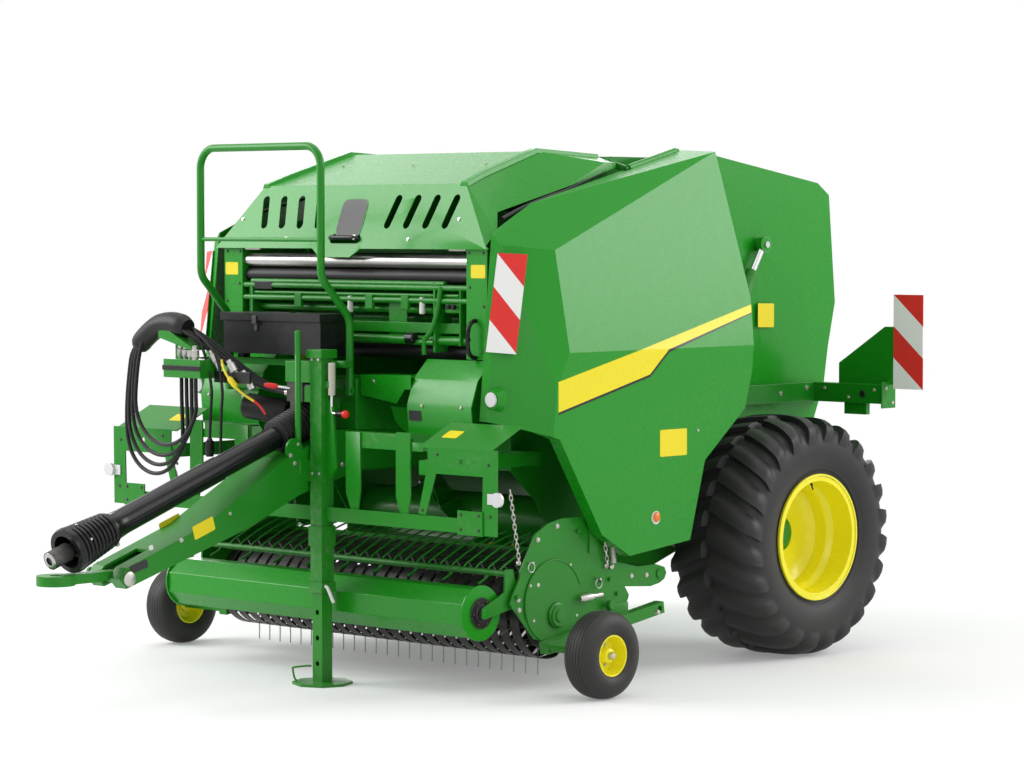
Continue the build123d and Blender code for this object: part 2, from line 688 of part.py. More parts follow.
# ---- parking jack: square post beside the drawbar, leg with its foot, crank
with BuildPart() as post:
    with BuildSketch(Plane.XY.offset(jack_low)) as tube:
        with Locations((jack_x, jack_y)):
            Rectangle(jack_tube, jack_tube)
            Rectangle(jack_tube - 2 * jack_wall, jack_tube - 2 * jack_wall, mode=Mode.SUBTRACT)
    extrude(tube.sketch, amount=jack_top - jack_low)
    for z0, z1 in ((595, 680), (jack_low, jack_low + 45)):
        with BuildSketch(Plane.XY.offset(z0)) as collar:
            with Locations((jack_x, jack_y)):
                Rectangle(jack_tube + 12, jack_tube + 12)
                Rectangle(jack_tube, jack_tube, mode=Mode.SUBTRACT)
        extrude(collar.sketch, amount=z1 - z0)
    block(jack_x - jack_out, jack_x + jack_out, jack_y - jack_out, jack_y + jack_out, jack_top,
          jack_top + 6)
    # gusset and crank on the machine's left side of the post
    post_side = jack_x + jack_out
    panel([(post_side, 1240), (post_side + 40, 1180), (post_side + 58, 930), (post_side, 860)],
          jack_y - 6, jack_y + 6)
    block(post_side, post_side + 26, jack_y - 16, jack_y + 16, 1270, 1300)
    strut((crank_x, jack_y, 1240), (crank_x, jack_y, 1375), 14)
    strut((crank_x, jack_y, 1168), (crank_x, jack_y, 1240), 6)
    strut((crank_x - 6, jack_y, 1162), (crank_x + 62, jack_y, 1162), 6)
    strut((crank_x + 34, jack_y, 1162), (crank_x + 68, jack_y, 1162), 12)
save(post.part, "jack_post")
with BuildPart() as leg:
    with BuildSketch() as base:
        with Locations((jack_x, jack_y)):
            RegularPolygon(130, 8)
    extrude(base.sketch, amount=12)
    with BuildSketch(Plane.XY.offset(12)) as tube:
        with Locations((jack_x, jack_y)):
            Rectangle(jack_inner, jack_inner)
            Rectangle(jack_inner - 10, jack_inner - 10, mode=Mode.SUBTRACT)
    extrude(tube.sketch, amount=1000)
    for z in (90, 200, 310):
        with BuildSketch(Plane.XZ.offset(-jack_y - 60)) as hole:
            with Locations((jack_x, z)):
                Circle(11)
        extrude(hole.sketch, amount=120, mode=Mode.SUBTRACT)
save(leg.part, "jack_leg")

# ---- platform behind the post, toolbox with its lid, handrail
platform_z = 1380.0
rack_y0 = -985.0
rack_y1 = -885.0
rack_z0 = 1298.0
rail_r = 17.0
rail_foot_y = -590.0
with BuildPart() as platform:
    block(-640, 175, -650, rail_foot_y - rail_r - seat_gap, platform_z - 30, platform_z)
    block(-40, jack_x - jack_out, jack_y - 30, -650, 1290, platform_z)
    block(-30, 30, rail_foot_y - rail_r - seat_gap, -560, 1300, platform_z)
    block(-40, 40, -560, -400, 1300, 1310)
    # arm, plate and coupler block that hold the hoses
    block(-640, -600, -880, -650, platform_z - 30, platform_z)
    block(-640, -600, -900, -880, platform_z - 82, 1505)
    panel([(-661, 1505), (-600, 1505), (-443, 1430), (-443, 1418), (-661, 1470)], -980, -880)
    block(-622, -379, rack_y0, rack_y1, rack_z0, rack_z0 + 81)
    # valve block below the post's bracket
    block(20, 50, jack_y + 60, jack_y + 90, 1270, 1300)
    block(-46, 116, jack_y - 15, jack_y + 95, 1205, 1275)
save(platform.part, "platform")

box_x0 = -555.0
box_x1 = 65.0
box_y0 = -690.0
box_y1 = -505.0
box_z0 = platform_z + 20
box_z1 = 1545.0
with BuildPart() as toolbox:
    block(box_x0, box_x1, box_y0, box_y1, box_z0, box_z1)
    block(box_x0 + 5, box_x1 - 5, box_y0 + 5, box_y1 - 5, box_z0 + 5, box_z1, mode=Mode.SUBTRACT)
    for x in (-520, -80):
        block(x, x + 40, -640, -600, platform_z, box_z0)
    drum(box_y1 + 12, box_z1 - 12, 10, box_x0 + 60, box_x0 + 110)
    drum(box_y1 + 12, box_z1 - 12, 10, box_x1 - 110, box_x1 - 60)
    block(box_x0 + 60, box_x0 + 110, box_y1 - 1, box_y1 + 12, box_z1 - 22, box_z1 - 12)
    block(box_x1 - 110, box_x1 - 60, box_y1 - 1, box_y1 + 12, box_z1 - 22, box_z1 - 12)
    for x in (box_x0 + 60, box_x1 - 110):
        drum(box_y1 + 12, box_z1 - 12, 5 + running_gap, x, x + 50, mode=Mode.SUBTRACT)
save(toolbox.part, "toolbox")
with BuildPart() as lid:
    block(box_x0 - 10, box_x1 + 10, box_y0 - 14, box_y1 + 4, box_z1 + 0.3, box_z1 + 34)
    block(box_x0 - 6, box_x1 + 6, box_y0 - 10, box_y1 + 10, box_z1 + 0.2, box_z1 + 30,
          mode=Mode.SUBTRACT)
    for x in (box_x0 + 111, box_x1 - 136):
        block(x, x + 25, box_y1 + 3, box_y1 + 12, box_z1 + 5, box_z1 + 10)
        plate([(box_y1 + 4, box_z1 + 34), (box_y1 + 24, box_z1 + 10), (box_y1 + 24, box_z1 - 20),
               (box_y1 + 4, box_z1 - 18)], x, x + 25)
        drum(box_y1 + 12, box_z1 - 12, 5, x - 52, x + 27)
save(lid.part, "toolbox_lid")

rail_y = -760.0
rail_x0 = -626.0
rail_x1 = 143.0
rail_top = 2300.0
with BuildPart() as handrail:
    with BuildLine() as path:
        FilletPolyline((rail_x0, rail_foot_y, 1230), (rail_x0, rail_foot_y, 1560),
                       (rail_x0, rail_y, 1740), (rail_x0, rail_y, rail_top),
                       (rail_x1, rail_y, rail_top), (rail_x1, rail_y, 1740),
                       (rail_x1, rail_foot_y, 1560), (rail_x1, rail_foot_y, 1230), radius=90)
    with BuildSketch(Plane(origin=(rail_x0, rail_foot_y, 1230), z_dir=(0, 0, 1))):
        Circle(rail_r)
    sweep()
    strut((rail_x0, rail_y, 1900), (rail_x1, rail_y, 1900), 9)
    block(rail_x0 - 20, rail_x1 + 20, rail_foot_y - 10, rail_foot_y + 10, 1240, 1260)
save(handrail.part, "handrail")

# ---- feed rotor between the walls
with BuildPart() as rotor:
    roller(rotor_y, rotor_z, 110, wall_in - end_gap, wall_in)
    for index in range(15):
        x = (index - 7) * 80
        turn = index * 24
        with BuildSketch(Plane(origin=(x - 4, rotor_y, rotor_z), x_dir=(0, cos(radians(turn)),
                               sin(radians(turn))), z_dir=(1, 0, 0))) as star:
            with PolarLocations(0, 4):
                with BuildLine():
                    Polyline((60, -60), (150, -60), (rotor_r - 5, 0), (150, 40), (60, 60),
                             close=True)
                make_face()
        extrude(star.sketch, amount=8)
save(rotor.part, "feed_rotor")

# ---- pick-up frame: side plates, rear tube, pivots
pivot_r = 22.0
pick_stub_r = 25.0
pick_stub_in = pick_half - 85
pick_tube_r = 36.0
tube_wall = 6.0
pick_outline = [(-470, 383), (-455, 414), (-409, 487), (-404, 518), (-358, 588), (-312, 665),
                (-234, 704), (-150, 720), (-44, 718), (106, 697), (112, 639), (140, 520),
                (248, 499), (348, 477), (470, 478), (524, 462), (538, 436), (524, 410),
                (490, 394), (430, 384), (260, 397), (287, 358), (271, 323), (180, 285),
                (90, 262), (-40, 262), (-90, 215), (-210, 191), (-320, 222), (-419, 330)]
plate_bolts = ((-430, 410), (156, 438), (115, 376), (205, 372), (101, 439), (-50, 660))
with BuildPart() as pick_frame:
    plate(pick_outline, pick_half, pick_half + pick_plate_t)
    drum(pick_hinge_y, pick_hinge_z, pivot_r + running_gap, pick_half, pick_half + pick_plate_t,
         mode=Mode.SUBTRACT)
    drum(pick_y, pick_z, pick_stub_r, pick_stub_in, pick_half)
    drum(guard_pivot_y, guard_pivot_z, guard_pin_r, pick_half - 28, pick_half)
    # round end cover and bearing cap on the outer face
    drum(-205, 372, 176, pick_half + pick_plate_t, pick_half + pick_plate_t + 5)
    drum(pick_y, pick_z, 46, pick_half + pick_plate_t + 5, pick_half + pick_plate_t + 24)
    for y, z in plate_bolts:
        drum(y, z, 9, pick_half + pick_plate_t, pick_half + pick_plate_t + 12)
    plate([(20, 560), (70, 560), (70, 670), (20, 670)], pick_half + pick_plate_t,
          pick_half + pick_plate_t + 8)
    mirror(about=Plane.YZ)
    drum(130, 330, pick_tube_r, -pick_half, pick_half)
    drum(130, 330, pick_tube_r - tube_wall, -pick_half, pick_half, mode=Mode.SUBTRACT)
    block(-pick_half, pick_half, 44, 56, 530, 556)
    block(-pick_half, pick_half, 84, 100, 280, 320)
save(pick_frame.part, "pickup_frame")

pivot_in = wall_out
with BuildPart() as pivots:
    drum(pick_hinge_y, pick_hinge_z, 34, pivot_in, pick_half - 6)
    drum(pick_hinge_y, pick_hinge_z, pivot_r, pivot_in, pick_half + pick_plate_t + 6)
    mirror(about=Plane.YZ)
with BuildPart() as frame_pins:
    for piece in (wall_pins, hinges, pivots):
        add(piece.part)
save(frame_pins.part, "frame_pins")

# ---- stripper bands wrapped round the reel
with BuildPart() as bands:
    wrap = radians(285)
    low_end = (pick_y + band_r * cos(wrap), pick_z + band_r * sin(wrap))
    band_rear = (52, pick_z + band_r + 40)
    band_low = (96, 300)
    with BuildSketch(Plane.YZ) as band:
        with BuildLine():
            Line(band_rear, (pick_y, pick_z + band_r))
            ThreePointArc((pick_y, pick_z + band_r), (pick_y - band_r, pick_z), low_end)
            Line(low_end, band_low)
            Line(band_low, band_rear)
        make_face()
        offset(amount=-band_t, kind=Kind.INTERSECTION, mode=Mode.SUBTRACT)
        with BuildLine():
            Polyline((44, 600), (44, 528), (84, 318), (84, 290), (200, 290), (200, 600), close=True)
        make_face(mode=Mode.SUBTRACT)
    for index in range(band_count):
        x = (index - (band_count - 1) / 2) * band_pitch - band_width / 2
        extrude(band.sketch.moved(Location((x, 0, 0))), amount=band_width)
save(bands.part, "pickup_strippers")

# ---- tine reel: tube, end discs, five bars of tines between the bands
reel_half = pick_half - 27
reel_tube_r = 55.0
reel_bush = pick_stub_in - 10
with BuildPart() as reel:
    drum(pick_y, pick_z, reel_tube_r, -reel_half, reel_half)
    drum(pick_y, pick_z, reel_tube_r - tube_wall, -reel_bush, reel_bush, mode=Mode.SUBTRACT)
    for x in (-reel_half, -4, reel_half - 8):
        drum(pick_y, pick_z, tine_ring_r + 24, x, x + 8)
    drum(pick_y, pick_z, pick_stub_r + running_gap, -reel_half, -reel_bush, mode=Mode.SUBTRACT)
    drum(pick_y, pick_z, pick_stub_r + running_gap, reel_bush, reel_half, mode=Mode.SUBTRACT)
    for bar in range(5):
        angle = radians(18 + 72 * bar)
        bar_y = pick_y + tine_ring_r * cos(angle)
        bar_z = pick_z + tine_ring_r * sin(angle)
        drum(bar_y, bar_z, tine_bar_r, -reel_half, reel_half)
        middle_r = (tine_ring_r + tine_tip_r) / 2
        for index in range(band_count - 1):
            x = (index - (band_count - 2) / 2) * band_pitch
            if abs(x) > 10:
                strut((x, bar_y, bar_z), (x, pick_y + tine_tip_r * cos(angle),
                                          pick_z + tine_tip_r * sin(angle)), tine_size, tine_size)
save(reel.part, "tine_reel")

# ---- crop guard: arms and a folded eight-sided drum
guard_rods = 13
guard_rod_r = 5.0
guard_bar = (-452, 505)
with BuildPart() as guard_arms:
    plate([(drum_y - 22, drum_z - 14), (drum_y - 10, drum_z - 24), (drum_y + 20, drum_z - 20),
           (guard_pivot_y, guard_pivot_z - 22), (guard_pivot_y + 22, guard_pivot_z),
           (guard_pivot_y, guard_pivot_z + 22), (-410, 462), (-430, 525), (-474, 525),
           (-480, 430), (drum_y - 20, drum_z + 22)], pick_half - 20, pick_half - 10)
    drum(guard_pivot_y, guard_pivot_z, guard_pin_r + running_gap, pick_half - 20,
         pick_half - 10, mode=Mode.SUBTRACT)
    drum(drum_y, drum_z, 16 + running_gap, pick_half - 20, pick_half - 10, mode=Mode.SUBTRACT)
    mirror(about=Plane.YZ)
save(guard_arms.part, "crop_guard_arms")
with BuildPart() as comb:
    drum(guard_bar[0], guard_bar[1], 14, -pick_half + 20, pick_half - 20)
    for index in range(guard_rods):
        x = (index - (guard_rods - 1) / 2) * 140
        strut((x, guard_bar[0], guard_bar[1]), (x, -120, 640), guard_rod_r)
save(comb.part, "crop_guard_comb")
with BuildPart() as guard_drum:
    with BuildSketch(Plane.YZ.offset(-drum_half)) as section:
        with Locations((drum_y, drum_z)):
            RegularPolygon(drum_r, 8, rotation=22.5)
    extrude(section.sketch, amount=2 * drum_half)
    with BuildSketch(Plane.YZ.offset(-drum_half + 4)) as hollow:
        with Locations((drum_y, drum_z)):
            RegularPolygon(drum_r - 4, 8, rotation=22.5)
    extrude(hollow.sketch, amount=2 * drum_half - 8, mode=Mode.SUBTRACT)
    drum(drum_y, drum_z, 16, -pick_half + 10, pick_half - 10)
save(guard_drum.part, "crop_guard_drum")

# ---- gauge wheels on stub axles from the pick-up
gauge_half = gauge_width / 2
pick_out = pick_half + pick_plate_t
gauge_bar = 50.0
bar_x = pick_out + 10 + gauge_bar / 2
with BuildPart() as gauge_arms:
    strut((bar_x, gauge_y - 20, gauge_r), (bar_x, 452, 296), gauge_bar, gauge_bar)
    drum(gauge_y, gauge_r, 14, bar_x, gauge_x + 40)
    block(pick_out, pick_out + 10, 150, 270, 262, 330)
    drum(424, 290, 14, bar_x - 30, bar_x + 30, mode=Mode.SUBTRACT)
    mirror(about=Plane.YZ)
save(gauge_arms.part, "gauge_wheel_arms")
with BuildPart() as gauge_tyre:
    with BuildSketch(Plane.XZ) as section:
        with BuildLine():
            Polyline((gauge_x - gauge_half + 12, 88), (gauge_x - gauge_half, 120),
                     (gauge_x - gauge_half, gauge_r - 30), (gauge_x - gauge_half + 30, gauge_r),
                     (gauge_x + gauge_half - 30, gauge_r), (gauge_x + gauge_half, gauge_r - 30),
                     (gauge_x + gauge_half, 120), (gauge_x + gauge_half - 12, 88), close=True)
        make_face()
    revolve(axis=Axis.X)
with BuildPart() as gauge_rim:
    with BuildSketch(Plane.XZ) as section:
        with BuildLine():
            Polyline((gauge_x - gauge_half + 12, 87.7), (gauge_x - gauge_half + 12, 80),
                     (gauge_x - 10, 70), (gauge_x - 10, 30), (gauge_x - 34, 30),
                     (gauge_x - 34, 14 + running_gap), (gauge_x + 41, 14 + running_gap),
                     (gauge_x + 45, 0), (gauge_x + 50, 0), (gauge_x + 44, 30), (gauge_x + 4, 30),
                     (gauge_x + 4, 68), (gauge_x + gauge_half - 12, 80),
                     (gauge_x + gauge_half - 12, 87.7), close=True)
        make_face()
    revolve(axis=Axis.X)
for side, flip in (("left", False), ("right", True)):
    for piece, label in ((gauge_tyre, "gauge_tyre"), (gauge_rim, "gauge_rim")):
        placed = piece.part.moved(Location((0, gauge_y, gauge_r)))
        save(mirrored(placed) if flip else placed, label + "_" + side)

# ---- guard frame across the front, hung from the covers' outriggers
frame_y = -786.0
frame_t = 6.0
bar_z0 = 703.0
bar_z1 = 763.0
with BuildPart() as guard_frame:
    panel([(804, 1050), (1200, 1050), (1197, 700), (1113, 700), (1120, 940), (850, 940),
           (790, 765), (751, 770), (806, 980)], frame_y, frame_y + frame_t)
    panel([(985, 985), (1005, 985), (1005, 1005), (985, 1005)], frame_y - 10, frame_y + 10,
          mode=Mode.SUBTRACT)
    plate([(frame_y, 1050), (frame_y, 1044), (-600, 1134), (-600, 1140)], 760, 1165)
    for x0, x1, y0, y1, z0, z1 in (
            (981, 1122, frame_y - frame_t, frame_y, 697, 797),
            (298, 599, -766, -760, 1024, 1090), (298, 599, -760, -715, 1084, 1090),
            (749, 757, frame_y + frame_t, -100, 930, 990),
            (757, 812, frame_y + frame_t, frame_y + 12, 930, 990),
            (wall_out, 757, -100, -40, 930, 990)):
        block(x0, x1, y0, y1, z0, z1)
    for points in ([(307, 1090), (393, 1090), (393, 840), (376, 730), (350, 730), (307, 830)],
                   [(607, 1100), (690, 1100), (690, 840), (670, 730), (645, 730), (607, 830)]):
        panel(points, frame_y + frame_t + 6, frame_y + frame_t + 14)
    block(590, 757, -766, -758, 1024, 1060)
    drum(-744, 1042, 18, 599, 757)
    block(jack_x + jack_out, 1115, frame_y + frame_t, frame_y + 2 * frame_t, bar_z0, bar_z1)
    block(jack_x + jack_out, 1115, frame_y + 2 * frame_t, frame_y + 56, bar_z0,
          bar_z0 + frame_t)
    mirror(about=Plane.YZ)
    block(-jack_x - jack_out, jack_x - jack_out, frame_y + frame_t, frame_y + 2 * frame_t,
          bar_z0, bar_z1)
save(guard_frame.part, "guard_frame")

# ---- rear light beams and the striped boards' carriers
board_y = 1986.0
with BuildPart() as beams:
    block(wall_out, 656, 1230, 1330, 1100, 1220)
    block(656, 690, 1230, 2020, 1125, 1215)
    block(690, 1110, 1950, 2020, 1125, 1215)
    block(1104, 1112, 1930, 2036, 1105, 1230)
    block(860, 990, 1970, 2000, 1070, 1125)
    # carrier plate behind the striped board
    panel([(812, 1215), (1260, 1215), (1260, 1600), (1134, 1600), (1134, 1487), (1080, 1487),
           (812, 1310)], board_y + 4, board_y + 9)
    mirror(about=Plane.YZ)
save(beams.part, "rear_beams")
with BuildPart() as boards:
    block(1134, 1302, board_y, board_y + 4, 1197, 1638)
    mirror(about=Plane.YZ)
save(boards.part, "rear_boards")

# ---- reflectors on the guard frame's outer legs
with BuildPart() as lamps:
    block(1150, 1213, frame_y - frame_t, frame_y, 830, 874)
    strut((1213, frame_y - frame_t, 852), (1213, frame_y - 20, 852), 30)
    mirror(about=Plane.YZ)
save(lamps.part, "reflectors")

# ---- hoses: from the valve block over the holder, down in a loop and up to the couplers
hose_r = 9.0
hose_rows = (
    (0, -969, 862, -600), (1, -925, 905, -540), (2, -880, 950, -480), (3, -832, 1000, -425))
for lane, left, low, plug_x in hose_rows:
    start_y = jack_y + 82 - 25 * lane
    lane_y = rack_y1 - 14 - 24 * lane
    loop_r = (plug_x + 6 - left) / 2
    loop_x = (plug_x + 6 + left) / 2
    loop_z = low + loop_r
    route = [(-46, start_y, 1240), (-130, start_y, 1240), (-250, start_y - 60, 1285),
             (-370, (start_y + lane_y) / 2 - 20, 1390), (-480, lane_y + 10, 1490),
             (-600, lane_y, 1535), (-730, lane_y, 1520), (left + 40, lane_y, 1430),
             (left + 12, lane_y, 1290)]
    if loop_z < 1120:
        route.append((left - 5, lane_y, (loop_z + 1235) / 2))
    for index in range(5):
        turn = radians(198 + 36 * index)
        route.append((loop_x + loop_r / cos(radians(18)) * cos(turn), lane_y,
                      loop_z + loop_r / cos(radians(18)) * sin(turn)))
    rise = rack_z0 - route[-1][2]
    steps = max(2, ceil(rise / 110))
    for index in range(1, steps):
        route.append((plug_x + (0, 6)[(steps - 1 - index) % 2], lane_y, route[-1][2] + rise / steps))
    route.append((plug_x, lane_y, rack_z0))
    points = [Vector(*p) for p in route]
    radii = []
    for before, corner, after in zip(points, points[1:], points[2:]):
        shorter = min((corner - before).length, (after - corner).length)
        turn = radians((corner - before).get_angle(after - corner))
        radii.append(0.45 * shorter / tan(turn / 2))
    with BuildPart() as hose:
        with BuildLine() as path:
            FilletPolyline(*points, radius=radii)
        with BuildSketch(Plane(origin=points[0], z_dir=(points[1] - points[0]).normalized())):
            Circle(hose_r)
        sweep()
    length = path.wire().length
    print("hose", lane, "length", round(length), "least radius", round(min(radii)),
          "volume share", round(hose.part.volume / (length * pi * hose_r ** 2), 3))
    save(hose.part, "hose_" + "abcd"[lane])
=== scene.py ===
from math import atan2, cos, pi, radians, sin

import bmesh
import bpy
import numpy as np
from mathutils import Matrix, Vector
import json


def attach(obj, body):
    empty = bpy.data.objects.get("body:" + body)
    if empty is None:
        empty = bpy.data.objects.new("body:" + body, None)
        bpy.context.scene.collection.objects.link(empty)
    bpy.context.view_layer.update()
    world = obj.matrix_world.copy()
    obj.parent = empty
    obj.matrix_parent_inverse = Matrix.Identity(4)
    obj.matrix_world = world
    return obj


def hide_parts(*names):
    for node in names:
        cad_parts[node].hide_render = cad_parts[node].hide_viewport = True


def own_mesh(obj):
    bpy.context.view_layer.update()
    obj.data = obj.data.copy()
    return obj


# Dresses a towed round baler. Metres: +X is the machine's left, -Y its front, +Z up.

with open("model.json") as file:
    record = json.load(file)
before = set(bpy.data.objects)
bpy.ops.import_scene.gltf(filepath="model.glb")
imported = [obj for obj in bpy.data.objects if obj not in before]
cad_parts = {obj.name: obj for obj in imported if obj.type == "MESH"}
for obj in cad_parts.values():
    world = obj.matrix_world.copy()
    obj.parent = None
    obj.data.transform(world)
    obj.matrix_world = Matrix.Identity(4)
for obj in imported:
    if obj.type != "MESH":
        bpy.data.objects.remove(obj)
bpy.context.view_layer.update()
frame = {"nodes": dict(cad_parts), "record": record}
nodes = frame["nodes"]
scene = bpy.context.scene


cameraPlace = {"at": (10.0829, -10.2025, 1.96085), "turn": 43.065, "down": 2.828,
               "lens": 112.87, "sensor": 36.0, "reach": 200.0}
cameraData = bpy.data.cameras.new("camera")
cameraData.lens = cameraPlace["lens"]
cameraData.sensor_width = cameraPlace["sensor"]
cameraData.clip_end = cameraPlace["reach"]
camera = bpy.data.objects.new("camera", cameraData)
camera.location = cameraPlace["at"]
camera.rotation_euler = (radians(90 - cameraPlace["down"]), 0, radians(cameraPlace["turn"]))
scene.collection.objects.link(camera)
scene.camera = camera
scene.view_settings.view_transform = "Standard"

# shaping helpers: every shape is arrays of points and rows of face corners
def addMesh(name, points, faces, finish, body, smooth=0, bevel=0, steps=2):
    # one mesh object from arrays; smooth is the crease angle in degrees, bevel its width
    mesh = bpy.data.meshes.new(name)
    rows = faces if isinstance(faces, list) else faces.tolist()
    mesh.from_pydata(np.asarray(points, float).reshape(-1, 3).tolist(), [], rows)
    shape = bmesh.new()
    shape.from_mesh(mesh)
    bmesh.ops.remove_doubles(shape, verts=shape.verts, dist=1e-6)
    bmesh.ops.recalc_face_normals(shape, faces=shape.faces)
    shape.to_mesh(mesh)
    shape.free()
    piece = bpy.data.objects.new(name, mesh)
    scene.collection.objects.link(piece)
    return dress(piece, finish, body, smooth, bevel, steps)


def dress(piece, finish, body, smooth=0, bevel=0, steps=2):
    # gives a piece its finish, its rounded edges and the body it moves with
    piece.data.materials.clear()
    piece.data.materials.append(finish)
    if bevel:
        rounding = piece.modifiers.new("rounding", "BEVEL")
        rounding.width = bevel
        rounding.segments = steps
        rounding.limit_method = "ANGLE"
        rounding.angle_limit = radians(28)
        rounding.harden_normals = True
    if smooth:
        piece.data.shade_smooth()
        piece.data.set_sharp_from_angle(angle=radians(smooth))
    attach(piece, body)
    return piece


def gridFaces(rows, columns, rowLoop=False, columnLoop=False):
    # four corners of each cell of a grid whose points are stored row by row
    i, j = np.meshgrid(np.arange(rows - (not rowLoop)), np.arange(columns - (not columnLoop)),
                       indexing="ij")
    i, j = i.ravel(), j.ravel()
    down, right = (i + 1) % rows, (j + 1) % columns
    return np.stack([i * columns + j, i * columns + right, down * columns + right,
                     down * columns + j], axis=1)


def smoothLine(points, perRun, loop=False):
    # Catmull-Rom curve: each run is the cubic through its ends with slopes of half the chord
    p = np.asarray(points, float)
    if loop:
        p = np.vstack([p[-1], p, p[:2]])
    else:
        p = np.vstack([2 * p[0] - p[1], p, 2 * p[-1] - p[-2]])
    t = np.linspace(0, 1, perRun, endpoint=False)[:, None]
    a, b, c, d = p[:-3, None], p[1:-2, None], p[2:-1, None], p[3:, None]
    line = 0.5 * (2 * b + (c - a) * t + (2 * a - 5 * b + 4 * c - d) * t ** 2
                  + (3 * b - a - 3 * c + d) * t ** 3)
    line = line.reshape(-1, p.shape[1])
    return line if loop else np.vstack([line, p[-2]])


def latheGrid(profile, count, centre):
    # profile of (x, r) turned about the X axis: point = centre + (x, r cos a, r sin a)
    profile = np.asarray(profile, float)
    angle = np.linspace(0, 2 * pi, count, endpoint=False)
    x = np.repeat(profile[:, :1], count, axis=1)
    y, z = profile[:, 1:] * np.cos(angle), profile[:, 1:] * np.sin(angle)
    return np.stack([x, y, z], axis=2) + np.asarray(centre)


def lathe(name, profile, centre, finish, body, count=96, loop=True, smooth=35, **more):
    # closed ring or cap turned about X from its profile
    points = latheGrid(profile, count, centre)
    faces = gridFaces(len(profile), count, loop, True)
    return addMesh(name, points, faces, finish, body, smooth, **more)


def pathFrames(path):
    # at each point of a path: its direction and two sides turned along it without twist
    path = np.asarray(path, float)
    ahead = np.gradient(path, axis=0)
    ahead /= np.linalg.norm(ahead, axis=1)[:, None]
    first = np.cross(ahead[0], (0, 0, 1.0))
    if np.linalg.norm(first) < 0.1:
        first = np.cross(ahead[0], (1.0, 0, 0))
    sides = [first / np.linalg.norm(first)]
    for direction in ahead[1:]:
        side = sides[-1] - direction * np.dot(sides[-1], direction)
        sides.append(side / np.linalg.norm(side))
    sides = np.array(sides)
    return ahead, sides, np.cross(ahead, sides)


def tubeArrays(path, radius, count=12):
    # circle of the given radius carried along a path: point = p + r (side cos a + up sin a)
    path = np.asarray(path, float)
    ahead, side, up = pathFrames(path)
    angle = np.linspace(0, 2 * pi, count, endpoint=False)
    radius = np.broadcast_to(radius, (len(path),))[:, None, None]
    points = path[:, None] + radius * (side[:, None] * np.cos(angle)[None, :, None]
                                       + up[:, None] * np.sin(angle)[None, :, None])
    faces = gridFaces(len(path), count, False, True).tolist()
    last = (len(path) - 1) * count
    return points.reshape(-1, 3), faces + [list(range(count)),
                                           list(range(last, last + count))]


def joinArrays(parts):
    # several (points, faces) pairs as one
    points, faces, start = [], [], 0
    for some, rows in parts:
        points.append(some)
        faces += [[start + k for k in row] for row in rows]
        start += len(some)
    return np.vstack(points), faces


def tubes(name, paths, finish, body, count=12, smooth=50):
    # several round bars as one piece; each row is (path, radius)
    points, faces = joinArrays([tubeArrays(path, radius, count) for path, radius in paths])
    return addMesh(name, points, faces, finish, body, smooth)


def prismArrays(outline, low, high):
    # flat outline of 3-D points moved from low to high offsets, with both ends closed
    outline = np.asarray(outline, float)
    count = len(outline)
    points = np.vstack([outline + low, outline + high])
    sides = gridFaces(2, count, False, True).tolist()
    return points, sides + [list(range(count)), list(range(count, 2 * count))]


def boxArrays(low, high):
    # block between two corners
    (a, b, c), (d, e, f) = low, high
    return prismArrays([(a, b, c), (d, b, c), (d, e, c), (a, e, c)], (0, 0, 0), (0, 0, f - c))


def stampArrays(points, faces, spots):
    # one small shape repeated: each spot is (origin, direction of the shape's Z, size)
    parts = []
    for origin, direction, size in spots:
        z = Vector(direction).normalized()
        x = z.orthogonal().normalized()
        turn = np.array(Matrix((x, z.cross(x), z)))
        parts.append((np.asarray(points) * size @ turn + np.asarray(origin), faces))
    return joinArrays(parts)


def boltShape():
    # washer and six-sided head with a chamfered top, for a thread of 1 (heights on Z)
    rings = [(1.15, 12, 0.0), (1.15, 12, 0.14), (0.98, 6, 0.14), (0.98, 6, 0.62),
             (0.84, 6, 0.72), (0.0, 6, 0.72)]
    points, faces, start = [], [], 0
    for (r0, n0, z0), (r1, _, z1) in ((rings[0], rings[1]), (rings[2], rings[3]),
                                       (rings[3], rings[4])):
        angle = np.linspace(0, 2 * pi, n0, endpoint=False)
        low = np.stack([r0 * np.cos(angle), r0 * np.sin(angle), angle * 0 + z0], axis=1)
        high = np.stack([r1 * np.cos(angle), r1 * np.sin(angle), angle * 0 + z1], axis=1)
        points += [low, high]
        faces += (gridFaces(2, n0, False, True) + start).tolist()
        faces += [list(range(start, start + n0)), list(range(start + n0, start + 2 * n0))]
        start += 2 * n0
    return np.vstack(points), faces


def bolts(name, body, spots, finish):
    # hexagon bolts as one piece; each spot is (place, direction out, thread size)
    points, faces = stampArrays(*boltShape(), spots)
    return addMesh(name, points, faces, finish, body)


# finishes
def link(tree, source, target):
    tree.links.new(source, target)


def put(tree, kind, **values):
    # adds one shader node; values are its inputs by name, or its own settings
    node = tree.nodes.new("ShaderNode" + kind)
    for key, value in values.items():
        name = key.replace("_", " ")
        if name in node.inputs:
            if isinstance(value, bpy.types.NodeSocket):
                link(tree, value, node.inputs[name])
            else:
                node.inputs[name].default_value = value
        else:
            setattr(node, key, value)
    return node


def maths(tree, operation, a, b=0.5, clamp=False):
    # one Math node from numbers or sockets
    node = tree.nodes.new("ShaderNodeMath")
    node.operation = operation
    node.use_clamp = clamp
    for slot, value in zip(node.inputs, (a, b)):
        if isinstance(value, bpy.types.NodeSocket):
            link(tree, value, slot)
        else:
            slot.default_value = value
    return node.outputs[0]


def blended(tree, share, a, b):
    # colour mix by a share
    node = tree.nodes.new("ShaderNodeMix")
    node.data_type = "RGBA"
    for slot, value in ((node.inputs[0], share), (node.inputs[6], a), (node.inputs[7], b)):
        if isinstance(value, bpy.types.NodeSocket):
            link(tree, value, slot)
        else:
            slot.default_value = value
    return node.outputs[2]


